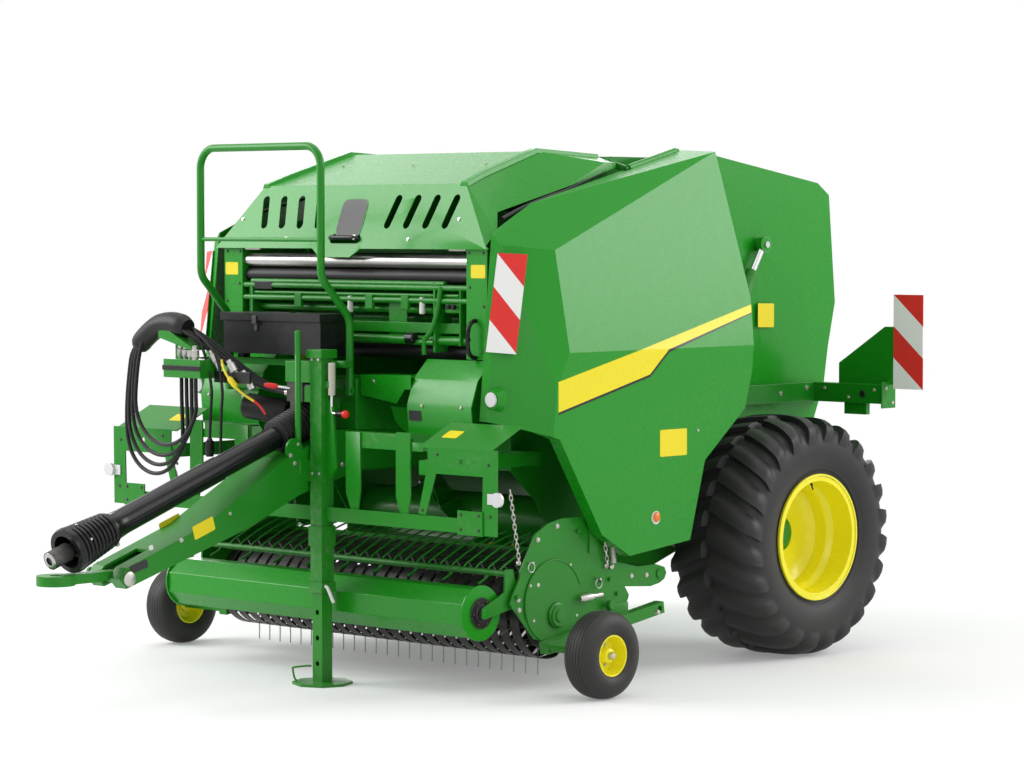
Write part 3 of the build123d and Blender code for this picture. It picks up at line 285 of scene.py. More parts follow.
weatherSet = {"patchScale": 2.3, "fineScale": 38.0, "dustFall": 1.1, "dustLow": 0.65,
              "dustLying": 0.35, "edgeFrom": 0.54, "edgeGain": 9.0, "edgeBreak": 0.42,
              "wearGain": 8.0, "dustRough": 0.5, "wearRough": 0.25, "fineRough": 0.08}


def makeWeather():
    # shared group: tone noise, dust that lies low and on top of things, worn edges, fine bump
    group = bpy.data.node_groups.new("weather", "ShaderNodeTree")
    for name, kind in (("Paint", "NodeSocketColor"), ("Dust", "NodeSocketColor"),
                       ("Bare", "NodeSocketColor"), ("Tone", "NodeSocketFloat"),
                       ("Dusting", "NodeSocketFloat"), ("Wear", "NodeSocketFloat"),
                       ("Shine", "NodeSocketFloat"), ("Grain", "NodeSocketFloat"),
                       ("Grain Size", "NodeSocketFloat")):
        group.interface.new_socket(name, in_out="INPUT", socket_type=kind)
    for name, kind in (("Color", "NodeSocketColor"), ("Roughness", "NodeSocketFloat"),
                       ("Height", "NodeSocketFloat")):
        group.interface.new_socket(name, in_out="OUTPUT", socket_type=kind)
    start = group.nodes.new("NodeGroupInput").outputs
    end = group.nodes.new("NodeGroupOutput").inputs
    spot = group.nodes.new("ShaderNodeTexCoord").outputs["Object"]
    broad = put(group, "TexNoise", Vector=spot, Scale=weatherSet["patchScale"],
                Detail=3.0).outputs["Fac"]
    fine = put(group, "TexNoise", Vector=spot, Scale=weatherSet["fineScale"],
               Detail=5.0).outputs["Fac"]
    grain = put(group, "TexNoise", Vector=spot, Scale=start["Grain Size"], Detail=2.0)
    shape = group.nodes.new("ShaderNodeNewGeometry").outputs
    up = put(group, "SeparateXYZ", Vector=shape["Normal"]).outputs["Z"]
    height = put(group, "SeparateXYZ", Vector=spot).outputs["Z"]
    # paler and darker patches
    tone = maths(group, "MULTIPLY", maths(group, "SUBTRACT", broad, 0.5), start["Tone"])
    tone = maths(group, "ADD", tone, 1.0)
    toned = group.nodes.new("ShaderNodeVectorMath")
    toned.operation = "SCALE"
    link(group, start["Paint"], toned.inputs[0])
    link(group, tone, toned.inputs["Scale"])
    # dust: more near the ground, more on faces that look up, broken by both noises
    low = maths(group, "SUBTRACT", 1.0, maths(group, "MULTIPLY", height,
                                              weatherSet["dustFall"]), clamp=True)
    lying = maths(group, "MULTIPLY", maths(group, "MAXIMUM", up, 0.0),
                  weatherSet["dustLying"])
    dirt = maths(group, "ADD", maths(group, "MULTIPLY", low, weatherSet["dustLow"]), lying)
    dirt = maths(group, "MULTIPLY", dirt, maths(group, "ADD", broad, 0.25))
    dirt = maths(group, "MULTIPLY", dirt, maths(group, "ADD", fine, 0.3))
    dirt = maths(group, "MULTIPLY", dirt, start["Dusting"], clamp=True)
    # worn edges: sharp corners where the fine noise is high
    edge = maths(group, "MULTIPLY", maths(group, "SUBTRACT", shape["Pointiness"],
                                            weatherSet["edgeFrom"]), weatherSet["edgeGain"])
    edge = maths(group, "MULTIPLY", edge, maths(group, "SUBTRACT", fine, weatherSet["edgeBreak"]))
    edge = maths(group, "MULTIPLY", edge, maths(group, "MULTIPLY", start["Wear"],
                                                  weatherSet["wearGain"]), clamp=True)
    worn = blended(group, edge, toned.outputs[0], start["Bare"])
    link(group, blended(group, dirt, worn, start["Dust"]), end["Color"])
    rough = maths(group, "ADD", start["Shine"], maths(group, "MULTIPLY", dirt, weatherSet["dustRough"]))
    rough = maths(group, "ADD", rough, maths(group, "MULTIPLY", edge, weatherSet["wearRough"]))
    rough = maths(group, "ADD", rough, maths(group, "MULTIPLY", maths(
        group, "SUBTRACT", fine, 0.5), weatherSet["fineRough"]), clamp=True)
    link(group, rough, end["Roughness"])
    link(group, maths(group, "MULTIPLY", grain.outputs["Fac"], start["Grain"]), end["Height"])
    return group


weather = makeWeather()
dustTone = (0.33, 0.27, 0.19, 1)
bareTone = (0.32, 0.30, 0.28, 1)


def makeFinish(name, paint, shine=0.35, tone=0.25, dusting=0.6, wear=0.3, grain=1.0,
               grainSize=300.0, bump=0.1, metal=0.0, coat=0.0, decorate=None, brushed=None):
    # one Principled material fed by the weather group; decorate may repaint its colour first
    finish = bpy.data.materials.new(name)
    finish.use_nodes = True
    tree = finish.node_tree
    shader = tree.nodes["Principled BSDF"]
    shader.inputs["Metallic"].default_value = metal
    shader.inputs["Specular IOR Level"].default_value = 0.5 if metal else 0.3
    if coat:
        shader.inputs["Coat Weight"].default_value = coat
        shader.inputs["Coat Roughness"].default_value = 0.06
    group = tree.nodes.new("ShaderNodeGroup")
    group.node_tree = weather
    for key, value in (("Paint", (*paint, 1)), ("Dust", dustTone), ("Bare", bareTone),
                       ("Tone", tone), ("Dusting", dusting), ("Wear", wear), ("Shine", shine),
                       ("Grain", grain), ("Grain Size", grainSize)):
        group.inputs[key].default_value = value
    if decorate:
        link(tree, decorate(tree, (*paint, 1)), group.inputs["Paint"])
    link(tree, group.outputs["Color"], shader.inputs["Base Color"])
    link(tree, group.outputs["Roughness"], shader.inputs["Roughness"])
    height = group.outputs["Height"]
    if brushed:
        # long scratches: noise squeezed along one direction
        spot = tree.nodes.new("ShaderNodeTexCoord").outputs["Object"]
        lines = put(tree, "Mapping", Vector=spot, Scale=brushed).outputs[0]
        lines = put(tree, "TexNoise", Vector=lines, Scale=60.0, Detail=3.0).outputs["Fac"]
        height = maths(tree, "ADD", height, lines)
    relief = put(tree, "Bump", Strength=bump, Distance=0.0006, Height=height)
    link(tree, relief.outputs["Normal"], shader.inputs["Normal"])
    return finish


def halfPlanes(tree, y, z, corners):
    # 1 inside the convex outline of (y, z) corners, listed so that its inside is on the left
    inside = None
    for (y0, z0), (y1, z1) in zip(corners, corners[1:] + corners[:1]):
        a, b = z0 - z1, y1 - y0
        size = (a * a + b * b) ** 0.5
        value = maths(tree, "ADD", maths(tree, "MULTIPLY", y, a / size),
                      maths(tree, "MULTIPLY", z, b / size))
        value = maths(tree, "SUBTRACT", value, (a * y0 + b * z0) / size)
        inside = value if inside is None else maths(tree, "MINIMUM", inside, value)
    return maths(tree, "GREATER_THAN", inside, 0.0)


def doorStripe(tree, paint):
    # yellow band along the door with a thin dark line under it
    spot = tree.nodes.new("ShaderNodeTexCoord").outputs["Object"]
    parts = put(tree, "SeparateXYZ", Vector=spot)
    y, z = parts.outputs["Y"], parts.outputs["Z"]
    s = stripe
    band = maths(tree, "MAXIMUM", halfPlanes(tree, y, z, s["front"]),
                 halfPlanes(tree, y, z, s["rear"]))
    line = maths(tree, "MAXIMUM", halfPlanes(tree, y, z, s["lineFront"]),
                 maths(tree, "MAXIMUM", halfPlanes(tree, y, z, s["lineRear"]),
                       halfPlanes(tree, y, z, s["lineTail"])))
    return blended(tree, band, blended(tree, line, paint, s["dark"]), s["yellow"])


def diagonals(tree, paint, row):
    # red and white bands that fall towards the machine's outside: fraction of the height below
    # start, less slope times the distance from the machine's middle, in bands of one pitch
    spot = tree.nodes.new("ShaderNodeTexCoord").outputs["Object"]
    parts = put(tree, "SeparateXYZ", Vector=spot)
    across = maths(tree, "MULTIPLY", maths(tree, "ABSOLUTE", parts.outputs["X"]), row["slope"])
    level = maths(tree, "ADD", parts.outputs["Z"], across)
    wave = maths(tree, "MULTIPLY", maths(tree, "SUBTRACT", row["start"], level), 1 / row["pitch"])
    band = maths(tree, "GREATER_THAN", maths(tree, "FRACT", wave), 0.5)
    return blended(tree, band, boards["white"], paint)


def boardStripes(tree, paint):
    return diagonals(tree, paint, boards["rear"])


def cornerStripes(tree, paint):
    return diagonals(tree, paint, boards["corner"])


stripe = {
    "yellow": (0.80, 0.68, 0.014, 1),
    "dark": (0.012, 0.012, 0.012, 1),
    "front": [(-0.252, 1.305), (-0.252, 1.1765), (0.336, 1.317), (0.463, 1.422),
              (0.463, 1.4682)],
    "rear": [(0.4629, 1.4682), (0.4629, 1.422), (1.200, 1.6045), (1.200, 1.6364)],
    "lineFront": [(-0.252, 1.178), (-0.252, 1.166), (0.340, 1.307), (0.336, 1.319)],
    "lineRear": [(0.334, 1.322), (0.340, 1.307), (0.467, 1.411), (0.463, 1.424)],
    "lineTail": [(0.460, 1.423), (0.467, 1.411), (1.200, 1.601), (1.200, 1.614)],
}
boards = {"white": (0.84, 0.84, 0.82, 1),
          "rear": {"slope": 0.875, "start": 1.638 + 0.875 * 1.134, "pitch": 0.294},
          "corner": {"slope": 1.29, "start": 1.847 + 1.29 * 0.889, "pitch": 0.286}}
greens = {"gloss": (0.008, 0.255, 0.008), "satin": (0.007, 0.205, 0.007)}

greenPaint = makeFinish("greenPaint", greens["gloss"], 0.28, 0.05, 0.03, 0.01, coat=0.08,
                        bump=0.003, grainSize=90.0)
greenDoor = makeFinish("greenDoor", greens["gloss"], 0.28, 0.04, 0.03, 0.01, coat=0.08,
                       bump=0.003, grainSize=90.0, decorate=doorStripe)
greenFrame = makeFinish("greenFrame", greens["satin"], 0.34, 0.14, 0.12, 0.08, coat=0.06, bump=0.1,
                        grainSize=160.0)
forgedGreen = makeFinish("forgedGreen", greens["satin"], 0.42, 0.2, 0.2, 0.12, bump=0.4,
                         grainSize=90.0)
yellowPaint = makeFinish("yellowPaint", (0.86, 0.78, 0.012), 0.26, 0.05, 0.03, 0.01, coat=0.3,
                         bump=0.004, grainSize=120.0)
tyreRubber = makeFinish("tyreRubber", (0.021, 0.021, 0.022), 0.5, 0.2, 0.06, 0.0, bump=0.35,
                        grainSize=420.0)
blackPlastic = makeFinish("blackPlastic", (0.010, 0.010, 0.011), 0.3, 0.2, 0.08, 0.03, bump=0.3,
                          grainSize=700.0)
blackRubber = makeFinish("blackRubber", (0.010, 0.010, 0.010), 0.45, 0.2, 0.06, 0.0, bump=0.3,
                         grainSize=500.0)
plainSteel = makeFinish("plainSteel", (0.50, 0.49, 0.47), 0.3, 0.15, 0.08, 0.05, metal=1.0,
                        bump=0.25, brushed=(1.0, 40.0, 40.0))
darkSteel = makeFinish("darkSteel", (0.06, 0.06, 0.058), 0.42, 0.2, 0.15, 0.08, metal=0.6,
                       bump=0.35, grainSize=220.0)
brightChrome = makeFinish("brightChrome", (0.7, 0.7, 0.7), 0.12, 0.1, 0.2, 0.1, metal=1.0,
                          bump=0.03)
boardSheet = makeFinish("boardSheet", (0.72, 0.035, 0.03), 0.35, 0.04, 0.05, 0.0, bump=0.08,
                        grainSize=900.0, decorate=boardStripes)
reflectorLens = makeFinish("reflectorLens", (0.62, 0.63, 0.64), 0.18, 0.1, 0.03, 0.0, coat=0.6,
                           bump=0.5, grainSize=900.0)
amberLens = makeFinish("amberLens", (0.85, 0.19, 0.012), 0.15, 0.1, 0.03, 0.0, coat=0.6, bump=0.4,
                       grainSize=800.0)
whitePlastic = makeFinish("whitePlastic", (0.70, 0.70, 0.67), 0.35, 0.1, 0.05, 0.0, bump=0.1)
redPlastic = makeFinish("redPlastic", (0.70, 0.015, 0.012), 0.3, 0.1, 0.05, 0.0, coat=0.2,
                        bump=0.1)
labelYellow = makeFinish("labelYellow", (0.80, 0.66, 0.014), 0.4, 0.06, 0.05, 0.0, bump=0.05)
labelDark = makeFinish("labelDark", (0.030, 0.030, 0.032), 0.35, 0.15, 0.05, 0.0, bump=0.08)
signalYellow = makeFinish("signalYellow", (0.76, 0.60, 0.020), 0.4, 0.1, 0.05, 0.0, bump=0.1)
bellowsBeige = makeFinish("bellowsBeige", (0.52, 0.51, 0.43), 0.5, 0.2, 0.1, 0.0, bump=0.2)
zincSteel = makeFinish("zincSteel", (0.56, 0.55, 0.50), 0.36, 0.2, 0.08, 0.05, metal=0.9,
                       bump=0.15, grainSize=260.0)
sprungSteel = makeFinish("sprungSteel", (0.30, 0.30, 0.30), 0.4, 0.2, 0.08, 0.0, metal=0.7,
                         bump=0.1)
glossPlastic = makeFinish("glossPlastic", (0.007, 0.007, 0.008), 0.2, 0.1, 0.02, 0.0, bump=0.02,
                          grainSize=300.0)
cornerSheet = makeFinish("cornerSheet", (0.72, 0.035, 0.03), 0.35, 0.05, 0.05, 0.0, bump=0.08,
                         grainSize=900.0, decorate=cornerStripes)
finishOfSlot = {
    "green_paint": greenPaint, "green_frame": greenFrame, "yellow_paint": yellowPaint,
    "tyre_black": tyreRubber, "black_plastic": blackPlastic, "black_rubber": blackRubber,
    "steel": plainSteel, "dark_steel": darkSteel, "chrome": brightChrome,
    "forged": forgedGreen, "board_red_white": boardSheet, "reflector_white": reflectorLens,
}
print("finishes made:", len(finishOfSlot) + 1)


# hoses: four free cords from the valve block over the holder, round a loop, up to the
# coupler block; each row is (length, route)
hoseRoutes = {
    "hoseA": (2.248, [
        (-0.046, -0.688, 1.240), (-0.130, -0.688, 1.240), (-0.250, -0.748, 1.285), (-0.370, -0.814,
        1.390), (-0.480, -0.889, 1.490), (-0.600, -0.899, 1.535), (-0.730, -0.899, 1.520), (-0.929,
        -0.899, 1.430), (-0.957, -0.899, 1.290), (-0.974, -0.899, 1.142), (-0.969, -0.899, 0.989),
        (-0.897, -0.899, 0.890), (-0.781, -0.899, 0.852), (-0.666, -0.899, 0.890), (-0.594, -0.899,
        0.989), (-0.594, -0.899, 1.092), (-0.600, -0.899, 1.195), (-0.600, -0.899, 1.298)
    ]),
    "hoseB": (2.134, [
        (-0.046, -0.713, 1.240), (-0.130, -0.713, 1.240), (-0.250, -0.773, 1.285), (-0.370, -0.838,
        1.390), (-0.480, -0.913, 1.490), (-0.600, -0.923, 1.535), (-0.730, -0.923, 1.520), (-0.885,
        -0.923, 1.430), (-0.913, -0.923, 1.290), (-0.930, -0.923, 1.168), (-0.925, -0.923, 1.037),
        (-0.850, -0.923, 0.934), (-0.730, -0.923, 0.895), (-0.609, -0.923, 0.934), (-0.534, -0.923,
        1.037), (-0.534, -0.923, 1.124), (-0.540, -0.923, 1.211), (-0.540, -0.923, 1.298)
    ]),
    "hoseC": (2.013, [
        (-0.046, -0.738, 1.240), (-0.130, -0.738, 1.240), (-0.250, -0.798, 1.285), (-0.370, -0.863,
        1.390), (-0.480, -0.937, 1.490), (-0.600, -0.947, 1.535), (-0.730, -0.947, 1.520), (-0.840,
        -0.947, 1.430), (-0.868, -0.947, 1.290), (-0.880, -0.947, 1.087), (-0.802, -0.947, 0.980),
        (-0.677, -0.947, 0.940), (-0.552, -0.947, 0.980), (-0.474, -0.947, 1.087), (-0.480, -0.947,
        1.193), (-0.480, -0.947, 1.298)
    ]),
    "hoseD": (1.886, [
        (-0.046, -0.763, 1.240), (-0.130, -0.763, 1.240), (-0.250, -0.823, 1.285), (-0.370, -0.887,
        1.390), (-0.480, -0.961, 1.490), (-0.600, -0.971, 1.535), (-0.730, -0.971, 1.520), (-0.792,
        -0.971, 1.430), (-0.820, -0.971, 1.290), (-0.832, -0.971, 1.139), (-0.753, -0.971, 1.031),
        (-0.625, -0.971, 0.989), (-0.498, -0.971, 1.031), (-0.419, -0.971, 1.139), (-0.425, -0.971,
        1.219), (-0.425, -0.971, 1.298)
    ]),
}


def makeHose(name, route):
    # one smooth spline drawn by the route's points
    curve = bpy.data.curves.new(name, "CURVE")
    curve.dimensions = "3D"
    spline = curve.splines.new("NURBS")
    spline.points.add(len(route) - 1)
    spline.points.foreach_set("co", np.c_[route, np.ones(len(route))].ravel())
    spline.order_u = 3
    spline.use_endpoint_u = True
    curve.resolution_u = 6
    curve.bevel_depth = 0.009
    curve.bevel_resolution = 4
    curve.use_fill_caps = True
    curve.materials.append(blackRubber)
    hose = bpy.data.objects.new(name, curve)
    scene.collection.objects.link(hose)
    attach(hose, "chassis")
    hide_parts("hose_" + name[-1].lower())


for name, (length, route) in hoseRoutes.items():
    makeHose(name, route)
print("hoses laid:", len(hoseRoutes))


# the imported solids: each takes its slot's finish, sheet metal gets rounded edges
bodyOfNode = {n: body for body, members in frame["record"]["behaviour"]["bodies"].items()
              for n in members}
slotOfNode = {row["node"]: row["material_slot"] for row in frame["record"]["subparts"]}
softEdges = {
    "hood": 0.0015, "side_door_left": 0.0015, "side_door_right": 0.0015, "tailgate": 0.004,
    "roof_panel": 0.002, "front_plates": 0.002, "front_covers": 0.002, "drawbar": 0.005,
    "tow_eye": 0.007, "gearbox": 0.008, "platform": 0.003, "toolbox": 0.004,
    "toolbox_lid": 0.006, "axle": 0.006, "jack_post": 0.003, "jack_leg": 0.002,
    "guard_frame": 0.002, "rear_beams": 0.004, "pickup_frame": 0.002, "side_walls": 0.002,
    "crop_guard_arms": 0.002, "crop_guard_drum": 0.003, "gauge_wheel_arms": 0.002,
    "cross_members": 0.003, "rim_left": 0.004, "rim_right": 0.004, "gauge_rim_left": 0.003,
    "gauge_rim_right": 0.003, "hub_left": 0.003, "hub_right": 0.003,
}


creased = {"side_door_left": 0.030, "side_door_right": 0.030, "hood": 0.022, "tailgate": 0.022,
           "tow_eye": 0.008}


def softened(node, width, finish):
    # the solid's surface merged, freed of flat triangle edges and given rounded edges; shallow
    # folds of the pressed sheets get a wider rounding first
    mesh = bpy.data.meshes.new(node + "_soft")
    shape = bmesh.new()
    shape.from_mesh(nodes[node].data)
    bmesh.ops.remove_doubles(shape, verts=shape.verts, dist=2e-5)
    bmesh.ops.dissolve_limit(shape, angle_limit=radians(0.5), verts=shape.verts,
                             edges=shape.edges, delimit={"NORMAL"})
    fold = shape.edges.layers.float.new("bevel_weight_edge")
    for edge in shape.edges:
        turn = edge.calc_face_angle(0)
        edge[fold] = float(radians(4) < turn < radians(62))
    shape.to_mesh(mesh)
    shape.free()
    piece = bpy.data.objects.new(node + "_soft", mesh)
    scene.collection.objects.link(piece)
    if node in creased:
        folds = piece.modifiers.new("folds", "BEVEL")
        folds.width = creased[node]
        folds.segments = 5
        folds.limit_method = "WEIGHT"
    dress(piece, finish, bodyOfNode[node], 16 if node == "drawbar" else 32, width)
    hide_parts(node)
    return piece


for node, thing in nodes.items():
    finish = greenDoor if node.startswith("side_door") else finishOfSlot[slotOfNode[node]]
    finish = darkSteel if node == "drive_shaft" else finish
    thing.data.materials.clear()
    thing.data.materials.append(finish)
    if node in softEdges:
        softened(node, softEdges[node], finish)
print("solids dressed:", len(nodes))


# turned shapes about any line: point = origin + s * axis + r (side cos a + up sin a)
def turnedArrays(profile, origin, axis, count=24, loop=False):
    profile = np.asarray(profile, float)
    along = np.asarray(Vector(axis).normalized())
    side = np.asarray(Vector(along).orthogonal().normalized())
    up = np.cross(along, side)
    angle = np.linspace(0, 2 * pi, count, endpoint=False)
    ring = side * np.cos(angle)[:, None] + up * np.sin(angle)[:, None]
    points = (np.asarray(origin) + profile[:, None, :1] * along + profile[:, None, 1:] * ring)
    return points.reshape(-1, 3), gridFaces(len(profile), count, loop, True).tolist()


def turned(name, rows, finish, body, count=24, smooth=40):
    # several turned shapes as one piece; each row is (profile, origin, axis)
    shapes = [turnedArrays(profile, origin, axis, count) for profile, origin, axis in rows]
    return addMesh(name, *joinArrays(shapes), finish, body, smooth)


def disc(length, radius, edge=0.0015):
    # profile of a short round bar with rounded ends, standing on its origin
    return [(0, 0), (0, radius - edge), (edge, radius), (length - edge, radius),
            (length, radius - edge), (length, 0)]


def blocks(name, rows, finish, body, bevel=0.002):
    # several boxes as one piece; each row is (low corner, high corner)
    return addMesh(name, *joinArrays([boxArrays(low, high) for low, high in rows]), finish, body,
                   0, bevel)


def bothSides(rows):
    # rows of (place, direction, size) and their mirror images across the machine's middle
    return list(rows) + [((-x, y, z), (-a, b, c), size) for (x, y, z), (a, b, c), size in rows]


# main tyres
treadTyre = {
    "centre": (0.960, 1.353, 0.548), "lugs": 24, "height": 0.0282, "sweep": 0.235,
    "section": [(0, .5195), (.060, .519), (.120, .516), (.165, .510), (.200, .498), (.225, .478),
                (.240, .450), (.2465, .415), (.2455, .380), (.238, .345), (.227, .318),
                (.2235, .308), (.2190, .306), (.2155, .297), (.2150, .284)],
    "bore": .2626,
    "steps": [0, .30, .42, .55, .75, .985],
}


def tyreArrays(t, mirrorX):
    # carcass section turned about X. Each point is pushed out along the section's normal by a
    # saw-toothed lug height, and turned forward with its distance from the tread's middle
    half = smoothLine(t["section"], 4)
    gap = np.linalg.norm(np.diff(half, axis=0), axis=1)
    far = np.concatenate([[0], np.cumsum(gap)])
    slope = np.gradient(half, axis=0)
    normal = np.stack([-slope[:, 1], slope[:, 0]], axis=1)
    normal /= np.linalg.norm(normal, axis=1)[:, None]
    envelope = np.clip((far - 0.003) / 0.012, 0, 1) * np.clip((0.285 - far) / 0.055, 0, 1)
    turn = t["sweep"] * np.clip(far / 0.27, 0, 1) ** 1.25
    steps = np.array(t["steps"])
    phase = np.unique(np.concatenate([steps, (steps + 0.5) % 1]).round(4))
    height = {0: (0, .30, .42, .55, .75, .985, 1), 1: (0, 0, .35, .80, 1, 1, 0)}
    step = 2 * pi / t["lugs"]
    base = (np.arange(t["lugs"])[:, None] + phase[None]).ravel()
    rows = []
    for sign, shift in ((-1, 0.5), (1, 0.0)):
        rise = np.interp((base + shift) % 1, height[0], height[1]) * t["height"]
        lift = envelope[:, None] * rise[None]
        x = sign * (half[:, :1] + normal[:, :1] * lift)
        r = half[:, 1:] + normal[:, 1:] * lift
        angle = base[None] * step + turn[:, None]
        grid = np.stack([x, r * np.cos(angle), r * np.sin(angle)], axis=2)
        bore = np.stack([x[-1], t["bore"] * np.cos(angle[-1]), t["bore"] * np.sin(angle[-1])],
                        axis=1)[None]
        grid = np.concatenate([grid, bore])
        rows.append(grid[::-1] if sign < 0 else grid[1:])
    grid = np.concatenate(rows)
    flip = np.array([-1 if mirrorX else 1, 1, 1])
    centre = np.array(t["centre"]) * flip
    return grid * flip + centre, gridFaces(len(grid), len(base), True, True)


for side in ("left", "right"):
    points, faces = tyreArrays(treadTyre, side == "right")
    piece = addMesh("tyreTread_" + side, points, faces, tyreRubber, "wheel_" + side, 32)
    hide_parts("tyre_" + side)
    sign = 1 if side == "left" else -1
    turned("tyreValve_" + side,
           [([(0, 0), (0, .007), (.020, .006), (.022, .004), (.040, .004), (.042, 0)],
             (sign * 1.140, 1.353, .548 + .252), (sign * .35, 0, -1))],
           blackPlastic, "wheel_" + side, 12)

# gauge tyres: ribbed tread, round shoulders
gaugeTyre = {"centre": (1.318, -0.279, 0.184), "ribs": 5, "groove": 0.004, "width": 0.150}
for side, sign in (("left", 1), ("right", -1)):
    t = gaugeTyre
    across = np.linspace(-0.040, 0.040, 61)
    crown = 0.1835 - 0.0045 * (across / 0.040) ** 2
    crown = crown - t["groove"] * (np.abs(np.sin(across / 0.080 * pi * t["ribs"])) < 0.22)
    shoulder = smoothLine([(.0400, .1790), (.0560, .1705), (.0680, .1540), (.0745, .1320),
                           (.0740, .1120), (.0680, .0960), (.0630, .0895), (.0628, .0880)], 5)[1:]
    profile = np.vstack([shoulder[::-1] * (-1, 1), np.stack([across, crown], axis=1), shoulder])
    cx, cy, cz = t["centre"]
    piece = lathe("gaugeTread_" + side, profile, (sign * cx, cy, cz), tyreRubber,
                  "gauge_wheel_" + side, 96, True, 30)
    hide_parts("gauge_tyre_" + side)
    out = (sign * 1.0, 0, 0)
    nuts = [((sign * (cx + .006), cy + .044 * cos(a), cz + .044 * sin(a)), out, .0065)
            for a in np.arange(5) * 2 * pi / 5]
    bolts("gaugeNuts_" + side, "gauge_wheel_" + side, nuts, zincSteel)
    turned("gaugeCap_" + side, [([(0, 0), (0, .016), (.010, .016), (.018, .011), (.020, 0)],
                                 (sign * (cx + .048), cy, cz), out)],
           zincSteel, "gauge_wheel_" + side)

# drive shaft: guard tubes, ribbed cone at the front, bellows at the rear, yoke and collar
driveLine = {"start": (0, -2.070, 0.637), "run": (0, 0.941486, 0.337052)}


def onDrive(s):
    # point s metres along the drive shaft from its front end
    return tuple(a + s * b for a, b in zip(driveLine["start"], driveLine["run"]))


cone = [(.036, .070), (.036, .092), (.050, .0965), (.066, .0965), (.070, .092)]
for ring in range(9):
    s, r = .074 + ring * .021, .0930 - .0022 * ring
    cone += [(s, r - .006), (s + .004, r), (s + .014, r), (s + .018, r - .006)]
cone += [(.268, .070), (.290, .058), (.345, .0535), (.900, .0535), (.903, .0500), (1.530, .0500),
         (1.530, .0470), (.300, .0470), (.262, .062), (.075, .070)]
guard = addMesh("driveGuard", *turnedArrays(cone, driveLine["start"], driveLine["run"], 64, True),
                glossPlastic, "chassis", 40)
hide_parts("shaft_guard")
bellows = [(0, .050)]
for ring in range(13):
    s = .004 + ring * .020
    bellows += [(s, .066 + .001 * ring), (s + .005, .074 + .001 * ring),
                (s + .011, .074 + .001 * ring), (s + .016, .066 + .001 * ring)]
bellows += [(.268, .060), (.268, .050)]
addMesh("driveBellows", *turnedArrays(bellows, onDrive(1.245), driveLine["run"], 64, True),
        blackRubber, "chassis", 40)
turned("driveYoke", [
    ([(-.050, 0), (-.050, .024), (-.046, .027), (-.012, .027), (-.010, .031), (.030, .031),
      (.034, .027), (.080, .027), (.085, 0)], driveLine["start"], driveLine["run"]),
    (disc(.070, .0125), tuple(a + b for a, b in zip(onDrive(.085), (-.035, 0, 0))), (1, 0, 0)),
    (disc(.070, .0125), tuple(a + b for a, b in zip(onDrive(.085), (0, .012, -.034))),
     (0, -.337, .941)),
    ([(.075, 0), (.075, .026), (.135, .034), (.200, .034), (.205, 0)], driveLine["start"],
     driveLine["run"])], darkSteel, "drive_shaft", 32)
turned("driveCollar", [([(-.057, .0175), (-.057, .0290), (-.053, .0345), (-.040, .0345),
                         (-.037, .0375), (-.026, .0375), (-.023, .0345), (-.018, .0330),
                         (-.018, .0175)], driveLine["start"], driveLine["run"])],
       plainSteel, "drive_shaft", 48)
turned("driveRivets", [(disc(.004, .005), tuple(a + b for a, b in zip(onDrive(.110), (
    .0905 * cos(a), -.337 * .0905 * sin(a), .941 * .0905 * sin(a)))), (cos(a), -.337 * sin(a),
                                                                      .941 * sin(a)))
    for a in np.radians([20, 80, 140])], brightChrome, "chassis", 12)

# tine reel: tube, discs, five bars and their sprung tines
reel = {"centre": (-0.185, 0.312), "ring": 0.130, "tip": 0.262, "bars": 5, "first": 270.0,
        "pitch": 0.070, "tine": 0.0028, "coil": 0.013, "perBar": 26,
        "discs": (-.938, -.004, .930), "discRadius": .154, "discWidth": .008,
        "length": 1.876, "tube": .055, "bar": .0125}


def reelTines(t):
    # each tine is one thin rod: two turns of a coil round its bar, then straight out with a
    # slight bend near its tip
    rows = []
    turn = np.linspace(0, 4 * pi, 13)
    for bar in range(t["bars"]):
        angle = radians(t["first"] + 360 / t["bars"] * bar)
        out = np.array([0, cos(angle), sin(angle)])
        across = np.array([0, -sin(angle), cos(angle)])
        middle = np.array([0, t["centre"][0], t["centre"][1]]) + t["ring"] * out
        coil = (t["coil"] * (-np.cos(turn)[:, None] * across + np.sin(turn)[:, None] * out))
        coil[:, 0] = np.linspace(-0.008, 0.004, len(turn))
        shank = np.array([[.004, 0, 0]]) - t["coil"] * across + out * np.array(
            [[.045], [.088], [.132]]) + across * np.array([[.003], [.004], [.003]])
        line = np.vstack([coil, shank]) + middle
        for index in range(t["perBar"]):
            place = (index - (t["perBar"] - 1) / 2) * t["pitch"]
            rows.append((line + (place, 0, 0), t["tine"]))
    return rows


tines = tubes("reelTines", reelTines(reel), sprungSteel, "tine_reel", 6, 60)
reelY, reelZ = reel["centre"]
reelEnd = reel["discs"][0]
drumRows = []
for x in reel["discs"]:
    drumRows.append((disc(reel["discWidth"], reel["discRadius"]), (x, reelY, reelZ), (1, 0, 0)))
drumRows.append((disc(reel["length"], reel["tube"]), (reelEnd, reelY, reelZ), (1, 0, 0)))
for bar in range(reel["bars"]):
    angle = radians(reel["first"] + 360 / reel["bars"] * bar)
    drumRows.append((disc(reel["length"], reel["bar"]),
                     (reelEnd, reelY + reel["ring"] * cos(angle),
                      reelZ + reel["ring"] * sin(angle)), (1, 0, 0)))
reelBody = turned("reelBody", drumRows, darkSteel, "tine_reel", 32)
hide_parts("tine_reel")

